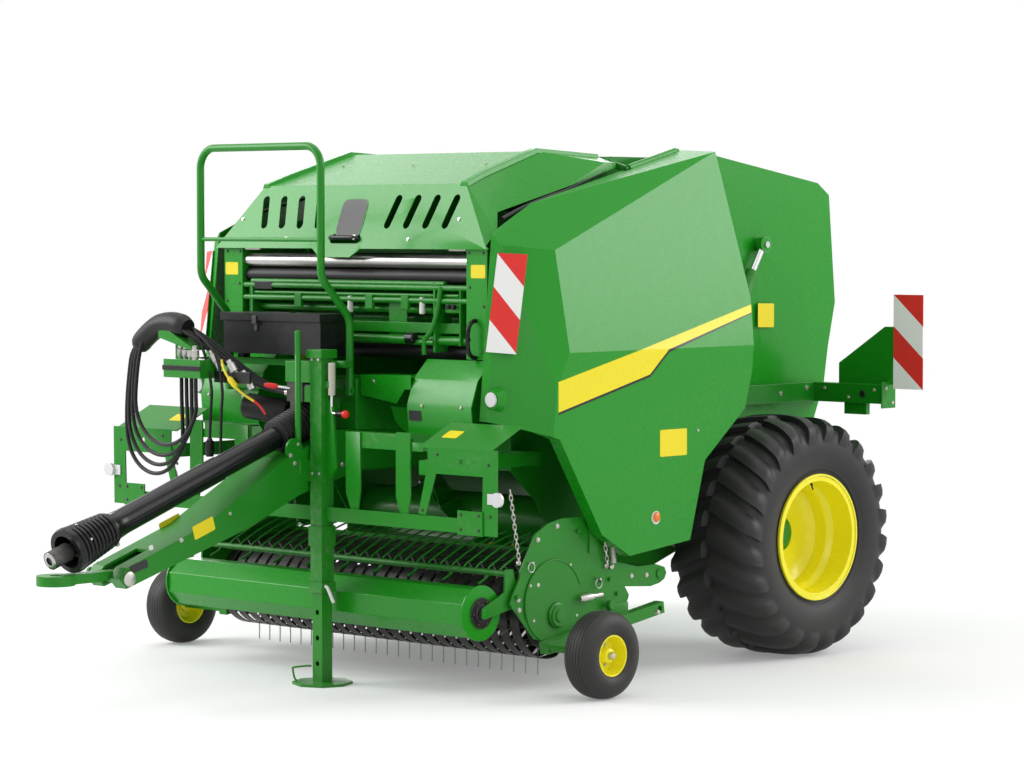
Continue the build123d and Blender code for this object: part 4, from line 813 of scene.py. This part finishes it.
# crop guard: comb of bent rods on its rail, hubs, bolts and rims of the drum
comb = {"rail": (-.452, .505), "rods": 27, "pitch": .070, "thick": .0045}
combRows = [([(-.944, -.452, .505), (.944, -.452, .505)], .0140)]
for index in range(comb["rods"]):
    x = (index - (comb["rods"] - 1) / 2) * comb["pitch"]
    combRows.append((smoothLine([(x, -.460, .519), (x, -.440, .534), (x, -.330, .585),
                                 (x, -.220, .622), (x, -.126, .640)], 3), comb["thick"]))
    if index % 3 == 1:
        combRows.append((smoothLine([(x, -.455, .495), (x, -.480, .478), (x, -.520, .462)], 2),
                         .006))
combPiece = tubes("cropComb", combRows, greenFrame, "crop_guard", 8, 60)
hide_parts("crop_guard_comb")
hubRows, boltRows = [], []
for sign in (1, -1):
    hubRows.append(([(0, 0), (0, .062), (.004, .066), (.008, .062), (.008, .040), (.014, .034),
                     (.022, .034), (.022, 0)], (sign * .9305, -.598, .352), (sign, 0, 0)))
    for a in np.arange(6) * pi / 3:
        boltRows.append(((sign * .9385, -.598 + .052 * cos(a), .352 + .052 * sin(a)),
                         (sign, 0, 0), .005))
turned("cropDrumHubs", hubRows, blackPlastic, "crop_guard_drum", 40)
bolts("cropDrumBolts", "crop_guard_drum", boltRows, darkSteel)
rimRows = [(disc(.010, .1165, .002), (sign * .9305 - (.010 if sign > 0 else 0), -.598, .352),
            (1, 0, 0)) for sign in (1, -1)]
turned("cropDrumRims", rimRows, greenPaint, "crop_guard_drum", 64)

# chains and springs that carry the pick-up
def chainArrays(start, end, wire=.0032, length=.030, width=.019):
    # links are flattened rings set one in the next, each turned a quarter from its neighbour
    start, end = Vector(start), Vector(end)
    run = (end - start).normalized()
    side = run.orthogonal().normalized()
    count = max(3, round((end - start).length / (length - 2 * wire)))
    reach = (end - start).length / count
    angle = np.linspace(0, 2 * pi, 14, endpoint=False)
    straight = (length - width) / 2
    flat = np.stack([width / 2 * np.cos(angle),
                     width / 2 * np.sin(angle) + straight * np.sign(np.sin(angle))], axis=1)
    flat[:, 0] = (width / 2 - wire) * np.cos(angle)
    tube = np.linspace(0, 2 * pi, 6, endpoint=False)
    parts = []
    for index in range(count):
        lean = side if index % 2 else run.cross(side)
        middle = np.asarray(start + run * reach * (index + 0.5))
        centre = middle + flat[:, :1] * np.asarray(lean) + flat[:, 1:] * np.asarray(run)
        outward = (flat / np.linalg.norm(flat, axis=1)[:, None])
        outward = outward[:, :1] * np.asarray(lean) + outward[:, 1:] * np.asarray(run)
        across = np.asarray(run.cross(lean))
        ring = centre[:, None] + wire * (outward[:, None] * np.cos(tube)[None, :, None]
                                         + across * np.sin(tube)[None, :, None])
        parts.append((ring.reshape(-1, 3), gridFaces(14, 6, True, True).tolist()))
    return joinArrays(parts)


def springArrays(start, end, radius=.013, wire=.0024, pitch=.0062):
    # helix about the line from start to end with a short straight end at each side
    start, end = np.asarray(start, float), np.asarray(end, float)
    span = np.linalg.norm(end - start)
    run = (end - start) / span
    side = np.asarray(Vector(run).orthogonal().normalized())
    up = np.cross(run, side)
    turns = (span - .04) / pitch
    a = np.linspace(0, 2 * pi * turns, int(turns * 10))[:, None]
    coil = start + run * (.02 + (span - .04) * a / a[-1]) + radius * (side * np.cos(a)
                                                                     + up * np.sin(a))
    line = np.vstack([start, start + run * .010, coil, end - run * .010, end])
    return tubeArrays(line, wire, 6)


hangers = {"frontChain": ((1.060, -.560, .868), (.986, -.425, .552)),
           "rearChain": ((1.000, .080, .700), (.992, .128, .497)),
           "rearSpring": ((1.000, .135, .690), (.995, .162, .490))}
for name, (top, foot) in hangers.items():
    for side, sign in (("left", 1), ("right", -1)):
        high, low = [(sign * p[0], p[1], p[2]) for p in (top, foot)]
        shape = springArrays(high, low) if "Spring" in name else chainArrays(high, low)
        piece = addMesh(name + "_" + side, *shape, zincSteel, "chassis", 60)
        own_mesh(piece)
turned("hangerEyes", [(disc(.013, .011, .003), (sign * .975, y, z), (sign, 0, 0))
                      for sign in (1, -1) for y, z in ((-.425, .552), (.128, .497),
                                                       (.162, .490))],
       zincSteel, "pickup", 16)

# pick-up side plates: bolts, spring clip, bearing cap, folded edge
plateSet = {"x": 0.975, "bolts": [(-.301, .449), (-.421, .396), (-.415, .352), (.060, .690),
                                  (.300, .440), (.400, .436), (-.300, .640), (-.180, .690)],
            "small": [(-.06, .30), (-.33, .30), (-.35, .45), (-.10, .52), (-.20, .20)]}
rows = [((plateSet["x"], y, z), (1, 0, 0), .010) for y, z in plateSet["bolts"]]
rows += [((plateSet["x"] + .005, y, z), (1, 0, 0), .006) for y, z in plateSet["small"]]
bolts("plateBolts", "pickup", bothSides(rows), zincSteel)
capRows, clipRows = [], []
ringTurn = np.linspace(0, 2 * pi, 28)
for sign in (1, -1):
    capRows.append(([(0, 0), (0, .050), (.006, .056), (.012, .050), (.016, .030), (.026, .026),
                     (.028, 0)], (sign * .980, -.185, .312), (sign, 0, 0)))
    capRows.append((disc(.030, .020, .003), (sign * .990, .130, .330), (sign, 0, 0)))
    for y, z in ((-.356, .548), (.070, .447)):
        clipRows.append((np.stack([0 * ringTurn + sign * .992, y + .020 * np.sin(ringTurn),
                                   z - .020 + .020 * np.cos(ringTurn)], axis=1), .0022))
        clipRows.append(([(sign * .975, y, z), (sign * 1.004, y, z)], .0055))
turned("plateCaps", capRows, greenFrame, "pickup", 40)
tubes("plateClips", clipRows, zincSteel, "pickup", 8)
arcTurn = np.linspace(radians(200), radians(20), 30)
edgeRows = []
for sign in (1, -1):
    edge = np.stack([0 * arcTurn + sign * .9805, -.205 + .176 * np.cos(arcTurn),
                     .372 + .176 * np.sin(arcTurn)], axis=1)
    edgeRows.append((edge, .0035))
tubes("plateEdges", edgeRows, greenFrame, "pickup", 8)
turned("adjusterJoint", [([(0, 0), (0, .012), (.020, .016), (.060, .016), (.080, .010),
                           (.120, .010), (.122, 0)], (sign * 1.000, -.06, .372), (sign * .2, 1, .1))
                         for sign in (1, -1)], zincSteel, "pickup", 20)
turned("armPins", [(disc(.022, .010, .003), (sign * 1.100 - .011, y, z), (1, 0, 0))
                   for sign in (1, -1) for y, z in ((.10, .262), (.33, .290))],
       zincSteel, "pickup", 16)

# painted eyes at the lift cylinders' rod ends
for side, sign in (("left", 1), ("right", -1)):
    turned("rodEye_" + side, [(disc(.0380, .0375, .003), (sign * .688 - .019, 1.5692, 1.8717),
                               (1, 0, 0))], greenPaint, "cylinder_rod_" + side, 40)

# reflectors, amber lamps and blank stickers
reflectorRows, bossRows = [], []
for sign in (1, -1):
    bossRows.append(([(0, 0), (0, .052), (.030, .040), (.040, .037), (.040, 0)],
                     (sign * .916, -.478, 1.236), (0, -1, 0)))
    reflectorRows.append((disc(.010, .031, .002), (sign * .916, -.518, 1.236), (0, -1, 0)))
for side, sign in (("left", 1), ("right", -1)):
    own = 0 if side == "left" else 1
    turned("doorBoss_" + side, bossRows[own:own + 1], greenPaint, "side_door_" + side, 40)
    turned("doorReflector_" + side, reflectorRows[own:own + 1], reflectorLens,
           "side_door_" + side, 40)
    turned("doorLamp_" + side, [
        ([(0, 0), (0, .0225), (.004, .0225), (.010, .018), (.013, .008), (.014, 0)],
         (sign * 1.050, .378, .696), (sign, 0, 0))], amberLens, "side_door_" + side, 32)
    turned("doorLampSeat_" + side, [
        ([(0, 0), (0, .030), (.003, .027), (.004, 0)], (sign * 1.0495, .378, .693),
         (sign, 0, 0))], whitePlastic, "side_door_" + side, 32)


def sticker(name, corners, lift, finish, body):
    # flat blank label: rounded four-cornered sheet standing lift off its surface
    p = [Vector(c) for c in corners]
    normal = (p[1] - p[0]).cross(p[3] - p[0]).normalized()
    outline = []
    for index in range(4):
        before, corner, after = p[index - 1], p[index], p[(index + 1) % 4]
        a, b = (before - corner).normalized() * .006, (after - corner).normalized() * .006
        outline += [corner + a, corner + (a + b) * .29, corner + b]
    return addMesh(name, *prismArrays(outline, normal * lift, normal * (lift + .0008)), finish,
                   body)


stickerRows = {
    "doorLabel": ("side_door", labelYellow, [(1.050, .403, 1.073), (1.050, .403, .956),
                                             (1.050, .584, .956), (1.050, .584, 1.073)]),
    "plateLabel": ("chassis", labelYellow, [(.728, -.446, 1.795), (.728, -.446, 1.739),
                                            (.812, -.446, 1.739), (.812, -.446, 1.795)]),
    "barLabel": ("chassis", labelYellow, [(.105, -1.444, .662), (.105, -1.332, .700),
                                          (.105, -1.348, .756), (.105, -1.460, .718)]),
    "barPlate": ("chassis", labelDark, [(.105, -1.790, .548), (.105, -1.697, .570),
                                        (.105, -1.704, .604), (.105, -1.797, .582)]),
    "barTag": ("chassis", whitePlastic, [(.105, -1.690, .636), (.105, -1.668, .642),
                                         (.105, -1.674, .662), (.105, -1.696, .656)]),
    "shroudLabel": ("chassis", labelYellow, [(.815, -.716, 1.0838), (.900, -.716, 1.0838),
                                             (.900, -.662, 1.1100), (.815, -.662, 1.1100)]),
    "coverPlate": ("chassis", labelDark, [(.480, -.566, 1.135), (.552, -.566, 1.135),
                                          (.552, -.569, 1.178), (.480, -.569, 1.178)]),
    "tailLabel": ("tailgate", labelYellow, [(.664, 1.560, 1.485), (.664, 1.680, 1.482),
                                            (.664, 1.680, 1.594), (.664, 1.560, 1.597)]),
}
for name, (body, finish, corners) in stickerRows.items():
    for side, sign in (("left", 1), ("right", -1)):
        shifted = [(sign * x, y, z) for x, y, z in corners]
        shifted = shifted if sign > 0 else shifted[::-1]
        sticker(name + "_" + side, shifted, .0004, finish,
                body + "_" + side if body == "side_door" else body)

# striped boards on the front corners of the doors, each on a wedge that turns it forward
cornerBoard = {"inner": (.889, -.4535), "outer": (1.000, -.388), "back": (.959, -.346),
               "top": (1.846, 1.840), "bottom": (1.434, 1.425), "lean": .060}


def boardCorner(place, level, sign):
    # a board's corner: its plan place, carried back as the door leans back with height
    x, y = cornerBoard[place]
    back = cornerBoard["lean"] * (level - 1.42) / .42 - cornerBoard["lean"]
    return Vector((sign * (x - .012 * (level < 1.6)), y + back, level))


for side, sign in (("left", 1), ("right", -1)):
    low = [boardCorner(name, cornerBoard["bottom"][name != "inner"], sign)
           for name in ("inner", "outer", "back")]
    high = [boardCorner(name, cornerBoard["top"][name != "inner"], sign)
            for name in ("inner", "outer", "back")]
    faces = [[0, 1, 2], [5, 4, 3], [0, 3, 4, 1], [1, 4, 5, 2], [2, 5, 3, 0]]
    addMesh("boardWedge_" + side, [tuple(p) for p in low + high], faces, greenPaint,
            "side_door_" + side)
    p = [low[0], low[1], high[1], high[0]]
    normal = (p[1] - p[0]).cross(p[3] - p[0]).normalized()
    normal = normal if normal.y < 0 else -normal
    board = addMesh("cornerBoard_" + side, *prismArrays(p, normal * .001, normal * .004),
                    cornerSheet, "side_door_" + side)

# hood: raised side rims, blank plate, handle, bolts
hoodFront = {"origin": Vector((0, -.470, 1.875)), "up": Vector((0, .3585, .9335)),
             "out": Vector((0, -.9335, .3585))}


def onHood(u, v, h=0):
    # point of the hood's front sheet: u across, v up the slope, h off it
    return tuple(hoodFront["origin"] + Vector((u, 0, 0)) + hoodFront["up"] * v
                 + hoodFront["out"] * h)


rimLine = [(.631, -.3735, 2.134), (.618, -.250, 2.178), (.596, .050, 2.268), (.592, .106, 2.2845),
           (.597, .300, 2.275), (.600, .500, 2.265)]
for side, sign in (("left", 1), ("right", -1)):
    shapes = []
    for (x0, y0, z0), (x1, y1, z1) in zip(rimLine[:-1], rimLine[1:]):
        shapes.append(([(sign * (x0 - .040), y0, z0 - .006), (sign * (x0 - .030), y0, z0 + .014),
                        (sign * (x0 + .004), y0, z0 + .012), (sign * (x0 + .012), y0, z0 - .010)],
                       [(sign * (x1 - .040), y1, z1 - .006), (sign * (x1 - .030), y1, z1 + .014),
                        (sign * (x1 + .004), y1, z1 + .012), (sign * (x1 + .012), y1, z1 - .010)]))
    rings = [shapes[0][0]] + [row[1] for row in shapes]
    points = np.array(rings).reshape(-1, 3)
    faces = gridFaces(len(rings), 4, False, True).tolist()
    last = 4 * (len(rings) - 1)
    addMesh("hoodRim_" + side, points, faces + [[0, 1, 2, 3], list(range(last, last + 4))],
            greenPaint, "hood", 40, .003)
ringTurn = np.linspace(0, 2 * pi, 40, endpoint=False)
shape = np.sign(np.cos(ringTurn)) * np.abs(np.cos(ringTurn)) ** .4, \
    np.sign(np.sin(ringTurn)) * np.abs(np.sin(ringTurn)) ** .4
for name, size, lift, finish in (("hoodPlate", 1.14, .0012, labelDark),
                                 ("hoodPlateRim", 1.20, .0006, greenFrame)):
    outline = [onHood(-.012 + .068 * size * a, .128 + .075 * size * b)
               for a, b in zip(*shape)]
    addMesh(name, *prismArrays(outline, hoodFront["out"] * .0002,
                               hoodFront["out"] * (.0012 + lift)), finish, "hood", 0, .0006)
grip = smoothLine([onHood(-.105, .030, -.004), onHood(-.100, .030, .012), onHood(-.070, .028, .019),
                   onHood(.030, .028, .019), onHood(.060, .030, .012),
                   onHood(.065, .030, -.004)], 4)
tubes("hoodHandle", [(grip, .0105)], glossPlastic, "hood", 12)
turned("hoodLatch", [(disc(.012, .012), onHood(.052, .030, .010), hoodFront["out"])], zincSteel,
       "hood", 20)
bolts("hoodBolts", "hood", [(onHood(x, v, .000), tuple(hoodFront["out"]), .0075) for x, v in (
    (.641, .120), (.369, .028), (-.715, .122), (-.397, .030))] + [
    ((x, -.072, 2.2305), (0, -.29, .957), .006) for x in (-.43, .015, .46)], zincSteel)

# net box between the front plates
tubes("netRails", [([(-.650, -.430, 1.712), (.560, -.430, 1.712)], .012),
                   ([(-.640, -.425, 1.662), (.640, -.425, 1.662)], .008),
                   ([(-.640, -.300, 1.560), (.640, -.300, 1.560)], .014)],
      greenFrame, "chassis")
blocks("netBrackets", [((x - .022, -.446, 1.600), (x + .022, -.428, 1.660)) for x in
                       (-.339, .111, .330)] + [
    ((.500, -.442, 1.420), (.512, -.340, 1.720)), ((.560, -.430, 1.590), (.660, -.420, 1.640)),
    ((-.660, -.440, 1.540), (-.640, -.300, 1.700)), ((.190, -.400, 1.470), (.300, -.395, 1.640)),
    ((-.640, -.412, 1.500), (.640, -.406, 1.545))], greenFrame, "chassis", .003)
tubes("netLatch", [(smoothLine([(.545, -.440, 1.700), (.530, -.446, 1.600), (.500, -.448, 1.520),
                                (.455, -.446, 1.470), (.450, -.444, 1.410)], 5), .011),
                   ([(.380, -.440, 1.462), (.505, -.440, 1.462)], .012)], greenFrame, "chassis")
turned("netPins", [(disc(.072, .0125, .003), (x, -.429, 1.582), (.02, 0, 1))
                   for x in (-.020, .422)], whitePlastic, "chassis", 20)
blocks("netBlock", [((-.628, -.443, 1.676), (-.508, -.416, 1.712))], blackPlastic, "chassis", .004)
turned("netKnobs", [(disc(.052, .024, .006), (.352, -.452, 1.478), (1, 0, 0)),
                    (disc(.020, .010), (.60, -.440, 1.615), (0, -1, 0)),
                    (disc(.020, .010), (.63, -.440, 1.615), (0, -1, 0))], glossPlastic, "chassis")
grab = smoothLine([(.757, -.448, 1.560), (.757, -.470, 1.556), (.752, -.486, 1.530),
                   (.748, -.488, 1.480), (.752, -.486, 1.432), (.757, -.470, 1.408),
                   (.757, -.448, 1.404)], 5)
for side, sign in (("left", 1), ("right", -1)):
    tubes("grabHandle_" + side, [(grab * (sign, 1, 1), .0095)], glossPlastic, "chassis", 12)
bolts("frontPlateBolts", "chassis", bothSides([((x, -.446, z), (0, -1, 0), .006) for x, z in (
    (.715, 1.845), (.800, 1.845), (.720, 1.700), (.802, 1.620), (.720, 1.480), (.800, 1.430))]),
    darkSteel)
hingeRows = []
for sign in (1, -1):
    hingeRows += [((sign * .640 - .05, -.440, 1.852), (sign * .640 + .05, -.425, 1.866))]
blocks("hoodCatches", hingeRows, zincSteel, "chassis")

# toolbox latch and lid handle
blocks("boxLatch", [((-.352, -.7095, 1.530), (-.324, -.704, 1.566)),
                    ((-.346, -.699, 1.500), (-.330, -.690, 1.528))], darkSteel, "toolbox_lid",
       .002)
blocks("lidHandle", [((-.300, -.640, 1.5785), (-.180, -.600, 1.5818))], blackPlastic,
       "toolbox_lid", .001)

# jack: crank with its bellows, grip, collar pin, foot bail
turned("crankBellows", [([(0, 0)] + [(.004 + .0085 * k + d, r) for k in range(16)
                                     for d, r in ((0, .0143), (.003, .0160), (.0055, .0160))]
                         + [(.142, .014), (.144, 0)], (.218, -.770, 1.236), (0, 0, 1))],
       bellowsBeige, "chassis", 24)
tubes("crankArm", [(smoothLine([(.218, -.770, 1.240), (.218, -.770, 1.185),
                                (.224, -.770, 1.166), (.250, -.770, 1.1615),
                                (.292, -.770, 1.161)], 5), .0072)], brightChrome, "chassis")
turned("crankGrip", [([(0, 0), (0, .0120), (.004, .0135), (.036, .0125), (.040, 0)],
                      (.250, -.770, 1.162), (1, 0, 0))], glossPlastic, "chassis")
turned("crankKnob", [([(0, 0), (0, .013), (.006, .0165), (.020, .0165), (.028, .010), (.030, 0)],
                      (.288, -.770, 1.162), (1, 0, 0))], redPlastic, "chassis")
tubes("jackPin", [(smoothLine([(.196, -.790, .425), (.225, -.806, .423), (.240, -.812, .412),
                               (.256, -.812, .385), (.270, -.812, .362)], 4), .0072)],
      whitePlastic, "chassis")
tubes("jackBail", [(smoothLine([(.122, -.802, .078), (.100, -.820, .077), (.062, -.850, .070),
                                (.057, -.851, .062), (.062, -.846, .026), (.068, -.838, .012)],
                               5), .0042)], greenFrame, "jack_leg")
blocks("jackCap", [((.108, -.818, 1.396), (.204, -.722, 1.433))], greenFrame, "chassis", .004)
bolts("jackBolts", "chassis", [((x, -.807, z), (0, -1, 0), .0065) for x, z in (
    (.135, 1.392), (.177, 1.392), (.135, .905), (.177, .905))], zincSteel)

# tall rod with its collar, bracket pins, drawbar fasteners
turned("tallRod", [([(0, 0), (0, .018), (.060, .018), (.064, .0135), (.505, .0135), (.510, .0105),
                     (.600, .0105), (.602, 0)], (.089, -.845, .905), (0, 0, 1)),
                   (disc(.110, .013, .003), (.089, -.845, 1.404), (0, 0, 1))],
       greenFrame, "chassis")
bolts("barBolts", "chassis", [((.105, y, z), (1, 0, 0), size) for y, z, size in (
    (-.905, .985, .009), (-.880, .950, .009), (-.860, 1.030, .007), (-1.520, .668, .009),
    (-1.250, .760, .007), (-.60, .93, .010))], zincSteel)
turned("eyePin", [([(0, 0), (0, .026), (.003, .030), (.009, .030), (.012, .024), (.014, 0)],
                   (sign * .119, -1.812, .532), (sign * 1.0, 0, 0)) for sign in (1, -1)],
       zincSteel, "chassis", 32)

# valve block, levers, couplers, ducts and cables
blocks("valveBody", [((-.040, -.792, 1.205), (.060, -.770, 1.292)),
                     ((-.010, -.800, 1.150), (.020, -.782, 1.206)),
                     ((-.044, -.784, 1.268), (.110, -.700, 1.282))], darkSteel, "chassis", .003)
turned("valveStubs", [(disc(.030, .012), (-.046, y, 1.240), (-1, 0, 0))
                      for y in (-.688, -.713, -.738, -.763)], zincSteel, "chassis", 20)
tubes("valveLever", [([(-.020, -.790, 1.262), (-.080, -.820, 1.270)], .005)], brightChrome,
      "chassis")
turned("leverGrip", [([(0, 0), (0, .009), (.010, .012), (.050, .0115), (.062, .006), (.064, 0)],
                      (-.070, -.815, 1.269), (-1, -.5, .12))], redPlastic, "chassis")
couplerRows = []
for index, (x, z) in enumerate(((-.600, 1.388), (-.540, 1.388), (-.480, 1.388), (-.425, 1.388))):
    y = -.899 - .024 * index
    couplerRows.append(([(0, 0), (0, .014), (.012, .014), (.014, .018), (.044, .018),
                         (.047, .013), (.060, .013), (.062, 0)], (x, y, z - .010), (.1, -.15, 1)))
couplerRows += [([(0, 0), (0, .017), (.030, .017), (.034, .022), (.070, .022), (.074, .014),
                  (.090, .014), (.092, 0)], (x, y, z), (-.45, -.2, .85)) for x, y, z in (
    (-.345, -.900, 1.340), (-.250, -.880, 1.300), (-.180, -.860, 1.255))]
turned("hoseCouplers", couplerRows, plainSteel, "chassis", 24)
blocks("couplerRack", [((-.380, -.905, 1.280), (-.150, -.893, 1.330)),
                       ((-.626, -.989, 1.330), (-.375, -.985, 1.352))], blackPlastic, "chassis",
       .003)
turned("rearDuct", [([(0, .036), (0, .052), (.010, .056), (.200, .056), (.215, .050),
                      (.215, .036), (0, .036)], (-.330, -.760, 1.175), (.95, .30, -.12))],
       blackRubber, "chassis", 40)
cableRows = {
    "cableYellow": (signalYellow, .0055, [(-.330, -.905, 1.378), (-.290, -.925, 1.335),
                                          (-.240, -.925, 1.280), (-.190, -.905, 1.235),
                                          (-.150, -.880, 1.205)]),
    "cableRed": (redPlastic, .0055, [(-.150, -.880, 1.205), (-.128, -.866, 1.185),
                                     (-.110, -.850, 1.150)]),
    "cableDark": (blackRubber, .0035, [(-.110, -.850, 1.150), (-.085, -.830, 1.110),
                                       (-.050, -.800, 1.085), (.000, -.770, 1.082)]),
}
for name, (finish, radius, points) in cableRows.items():
    tubes(name, [(smoothLine(points, 6), radius)], finish, "chassis", 10)
turned("cablePlugs", [([(0, 0), (0, .008), (.010, .013), (.050, .013), (.056, .007), (.058, 0)],
                       (-.262, -.926, 1.305), (.6, .25, -.7))], signalYellow, "chassis", 20)

# light cables that hang beside the hoses with their plugs
plugRows, leadRows = [], []
for x, y, low in ((-.381, -.930, 1.030), (-.323, -.920, .965)):
    leadRows.append((smoothLine([(-.560, -.900, 1.520), (-.480, -.925, 1.500),
                                 (x - .030, y, 1.400), (x + .012, y, 1.260), (x + .006, y, 1.140),
                                 (x, y, low)], 8), .0065))
    plugRows.append(([(0, 0), (0, .009), (-.012, .013), (-.016, .019), (-.060, .021),
                      (-.064, .017), (-.082, .017), (-.084, 0)], (x, y, low + .010), (0, 0, 1)))
tubes("lightLeads", leadRows, blackRubber, "chassis", 10)
turned("lightPlugs", plugRows, glossPlastic, "chassis", 24)
sleeve = smoothLine([(-.515, -.935, 1.512), (-.600, -.940, 1.532), (-.700, -.940, 1.520),
                     (-.800, -.938, 1.462), (-.835, -.936, 1.425)], 6)
width = np.interp(np.linspace(0, 1, len(sleeve)), (0, .1, .9, 1), (.040, .052, .046, .038))
addMesh("hoseSleeve", *tubeArrays(sleeve, width, 20), blackRubber, "chassis", 50)

# guard frame fasteners, rear beam fasteners
frameBolts = [((x, -.792, z), (0, -1, 0), .006) for x, z in (
    (1.000, .780), (1.000, .720), (1.100, .780), (1.100, .720))]
frameBolts += [((x, -.786, z), (0, -1, 0), .006) for x, z in (
    (.775, .785), (.760, .900), (1.150, .990), (1.160, .780), (.860, 1.020))]
bolts("frameBolts", "chassis", bothSides(frameBolts), darkSteel)
beamRows = [((1.112, y, z), (1, 0, 0), .008) for y, z in ((1.960, 1.200), (2.010, 1.130))]
beamRows += [((.690, y, z), (1, 0, 0), .010) for y, z in ((1.300, 1.190), (1.300, 1.150),
                                                          (1.700, 1.170), (1.900, 1.190))]
beamRows += [((x, 1.950, z), (0, -1, 0), .008) for x, z in ((.760, 1.190), (.900, 1.150),
                                                            (1.050, 1.190))]
bolts("beamBolts", "chassis", bothSides(beamRows), zincSteel)
turned("beamPlugs", [(disc(.006, .017, .002), (sign * .985, 1.9495, 1.170), (0, -1, 0))
                     for sign in (1, -1)], blackPlastic, "chassis", 32)
sealRows = []
for sign in (1, -1):
    seal = smoothLine([(sign * .800, -.330, 1.990), (sign * .792, -.180, 2.040),
                       (sign * .750, .120, 2.115), (sign * .708, .420, 2.200)], 6)
    sealRows.append((seal, .009))
tubes("hoodSeals", sealRows, blackRubber, "chassis", 8)
doorBolt = {"x": 1.050, "y": .660, "z": 1.060, "radius": .006}
for name, body, sign in (("doorBolts", "side_door_left", 1),
                         ("doorBoltsRight", "side_door_right", -1)):
    bolts(name, body, [((sign * doorBolt["x"], doorBolt["y"], doorBolt["z"]), (sign, 0, 0),
                        doorBolt["radius"])], zincSteel)
coverBolts = [((.246, -.548, 1.293), (0, -1, 0), .007), ((.560, -.572, 1.200), (0, -1, 0), .006),
              ((.790, -.572, 1.200), (0, -1, 0), .006)]
bolts("coverBolts", "chassis", bothSides(coverBolts), zincSteel)
print("pieces made")

# lights and stage
stageSet = {"floor": (0.90, 0.90, 0.90, 1), "world": (1.0, 1.0, 1.0, 1), "fill": 0.50,
            "radius": 60.0, "lift": 0.22, "fadeFrom": 2.6, "fadeTo": 6.5,
            "aimHeight": 1.0}
lampRows = [("keyLamp", (-6.4, -5.8, 5.6), 6.0, 780.0), ("sideLamp", (9.0, -4.0, 5.0), 6.0, 150.0),
            ("topLamp", (-1.0, 0.5, 9.5), 8.0, 250.0), ("backLamp", (7.2, 7.6, 6.0), 6.0, 600.0),
            ("rimLamp", (-7.5, 7.5, 3.2), 5.0, 300.0)]
for name, place, size, power in lampRows:
    lamp = bpy.data.lights.new(name, "AREA")
    lamp.size = size
    lamp.energy = power
    thing = bpy.data.objects.new(name, lamp)
    thing.location = place
    aim = Vector((0, 0, stageSet["aimHeight"])) - Vector(place)
    thing.rotation_euler = aim.to_track_quat("-Z", "Y").to_euler()
    scene.collection.objects.link(thing)


def makeWorld():
    # plain grey light, and a pale ground behind for what the camera and shiny things see
    world = bpy.data.worlds.new("world")
    world.use_nodes = True
    tree = world.node_tree
    tree.nodes.clear()
    rays = tree.nodes.new("ShaderNodeLightPath").outputs
    seen = maths(tree, "MAXIMUM", rays["Is Camera Ray"], maths(
        tree, "MAXIMUM", rays["Is Glossy Ray"], rays["Is Transmission Ray"]))
    level = maths(tree, "ADD", maths(tree, "MULTIPLY", seen, 1.0 - stageSet["fill"]),
                  stageSet["fill"])
    back = put(tree, "Background", Color=stageSet["world"], Strength=level)
    link(tree, back.outputs[0], tree.nodes.new("ShaderNodeOutputWorld").inputs[0])
    scene.world = world


def makeFloor():
    # wide pale square that keeps the machine's shadow and fades to the world's white away from the
    # machine
    finish = bpy.data.materials.new("floorFinish")
    finish.use_nodes = True
    tree = finish.node_tree
    shader = tree.nodes["Principled BSDF"]
    shader.inputs["Roughness"].default_value = 0.9
    shader.inputs["Specular IOR Level"].default_value = 0.1
    spot = tree.nodes.new("ShaderNodeTexCoord").outputs["Object"]
    speck = put(tree, "TexNoise", Vector=spot, Scale=9.0, Detail=4.0).outputs["Fac"]
    low = tuple(v * 0.985 for v in stageSet["floor"][:3]) + (1,)
    link(tree, blended(tree, speck, low, stageSet["floor"]), shader.inputs["Base Color"])
    # seen directly it glows a little, and wholly so far from the machine
    away = put(tree, "VectorMath", operation="LENGTH")
    link(tree, spot, away.inputs[0])
    fade = put(tree, "MapRange", interpolation_type="SMOOTHSTEP")
    link(tree, away.outputs["Value"], fade.inputs["Value"])
    for key, value in (("From Min", stageSet["fadeFrom"]), ("From Max", stageSet["fadeTo"]),
                       ("To Min", stageSet["lift"]), ("To Max", 1.0)):
        fade.inputs[key].default_value = value
    rays = tree.nodes.new("ShaderNodeLightPath").outputs
    seen = maths(tree, "MAXIMUM", rays["Is Camera Ray"], rays["Is Glossy Ray"])
    glow = put(tree, "Emission", Color=(1, 1, 1, 1), Strength=1.0)
    mix = tree.nodes.new("ShaderNodeMixShader")
    link(tree, maths(tree, "MULTIPLY", fade.outputs[0], seen), mix.inputs[0])
    link(tree, shader.outputs[0], mix.inputs[1])
    link(tree, glow.outputs[0], mix.inputs[2])
    link(tree, mix.outputs[0], tree.nodes["Material Output"].inputs["Surface"])
    mesh = bpy.data.meshes.new("floor")
    r = stageSet["radius"]
    mesh.from_pydata([(-r, -r, 0), (r, -r, 0), (r, r, 0), (-r, r, 0)], [], [(0, 1, 2, 3)])
    mesh.materials.append(finish)
    floor = bpy.data.objects.new("floor", mesh)
    scene.collection.objects.link(floor)


makeWorld()
makeFloor()
print("stage set")
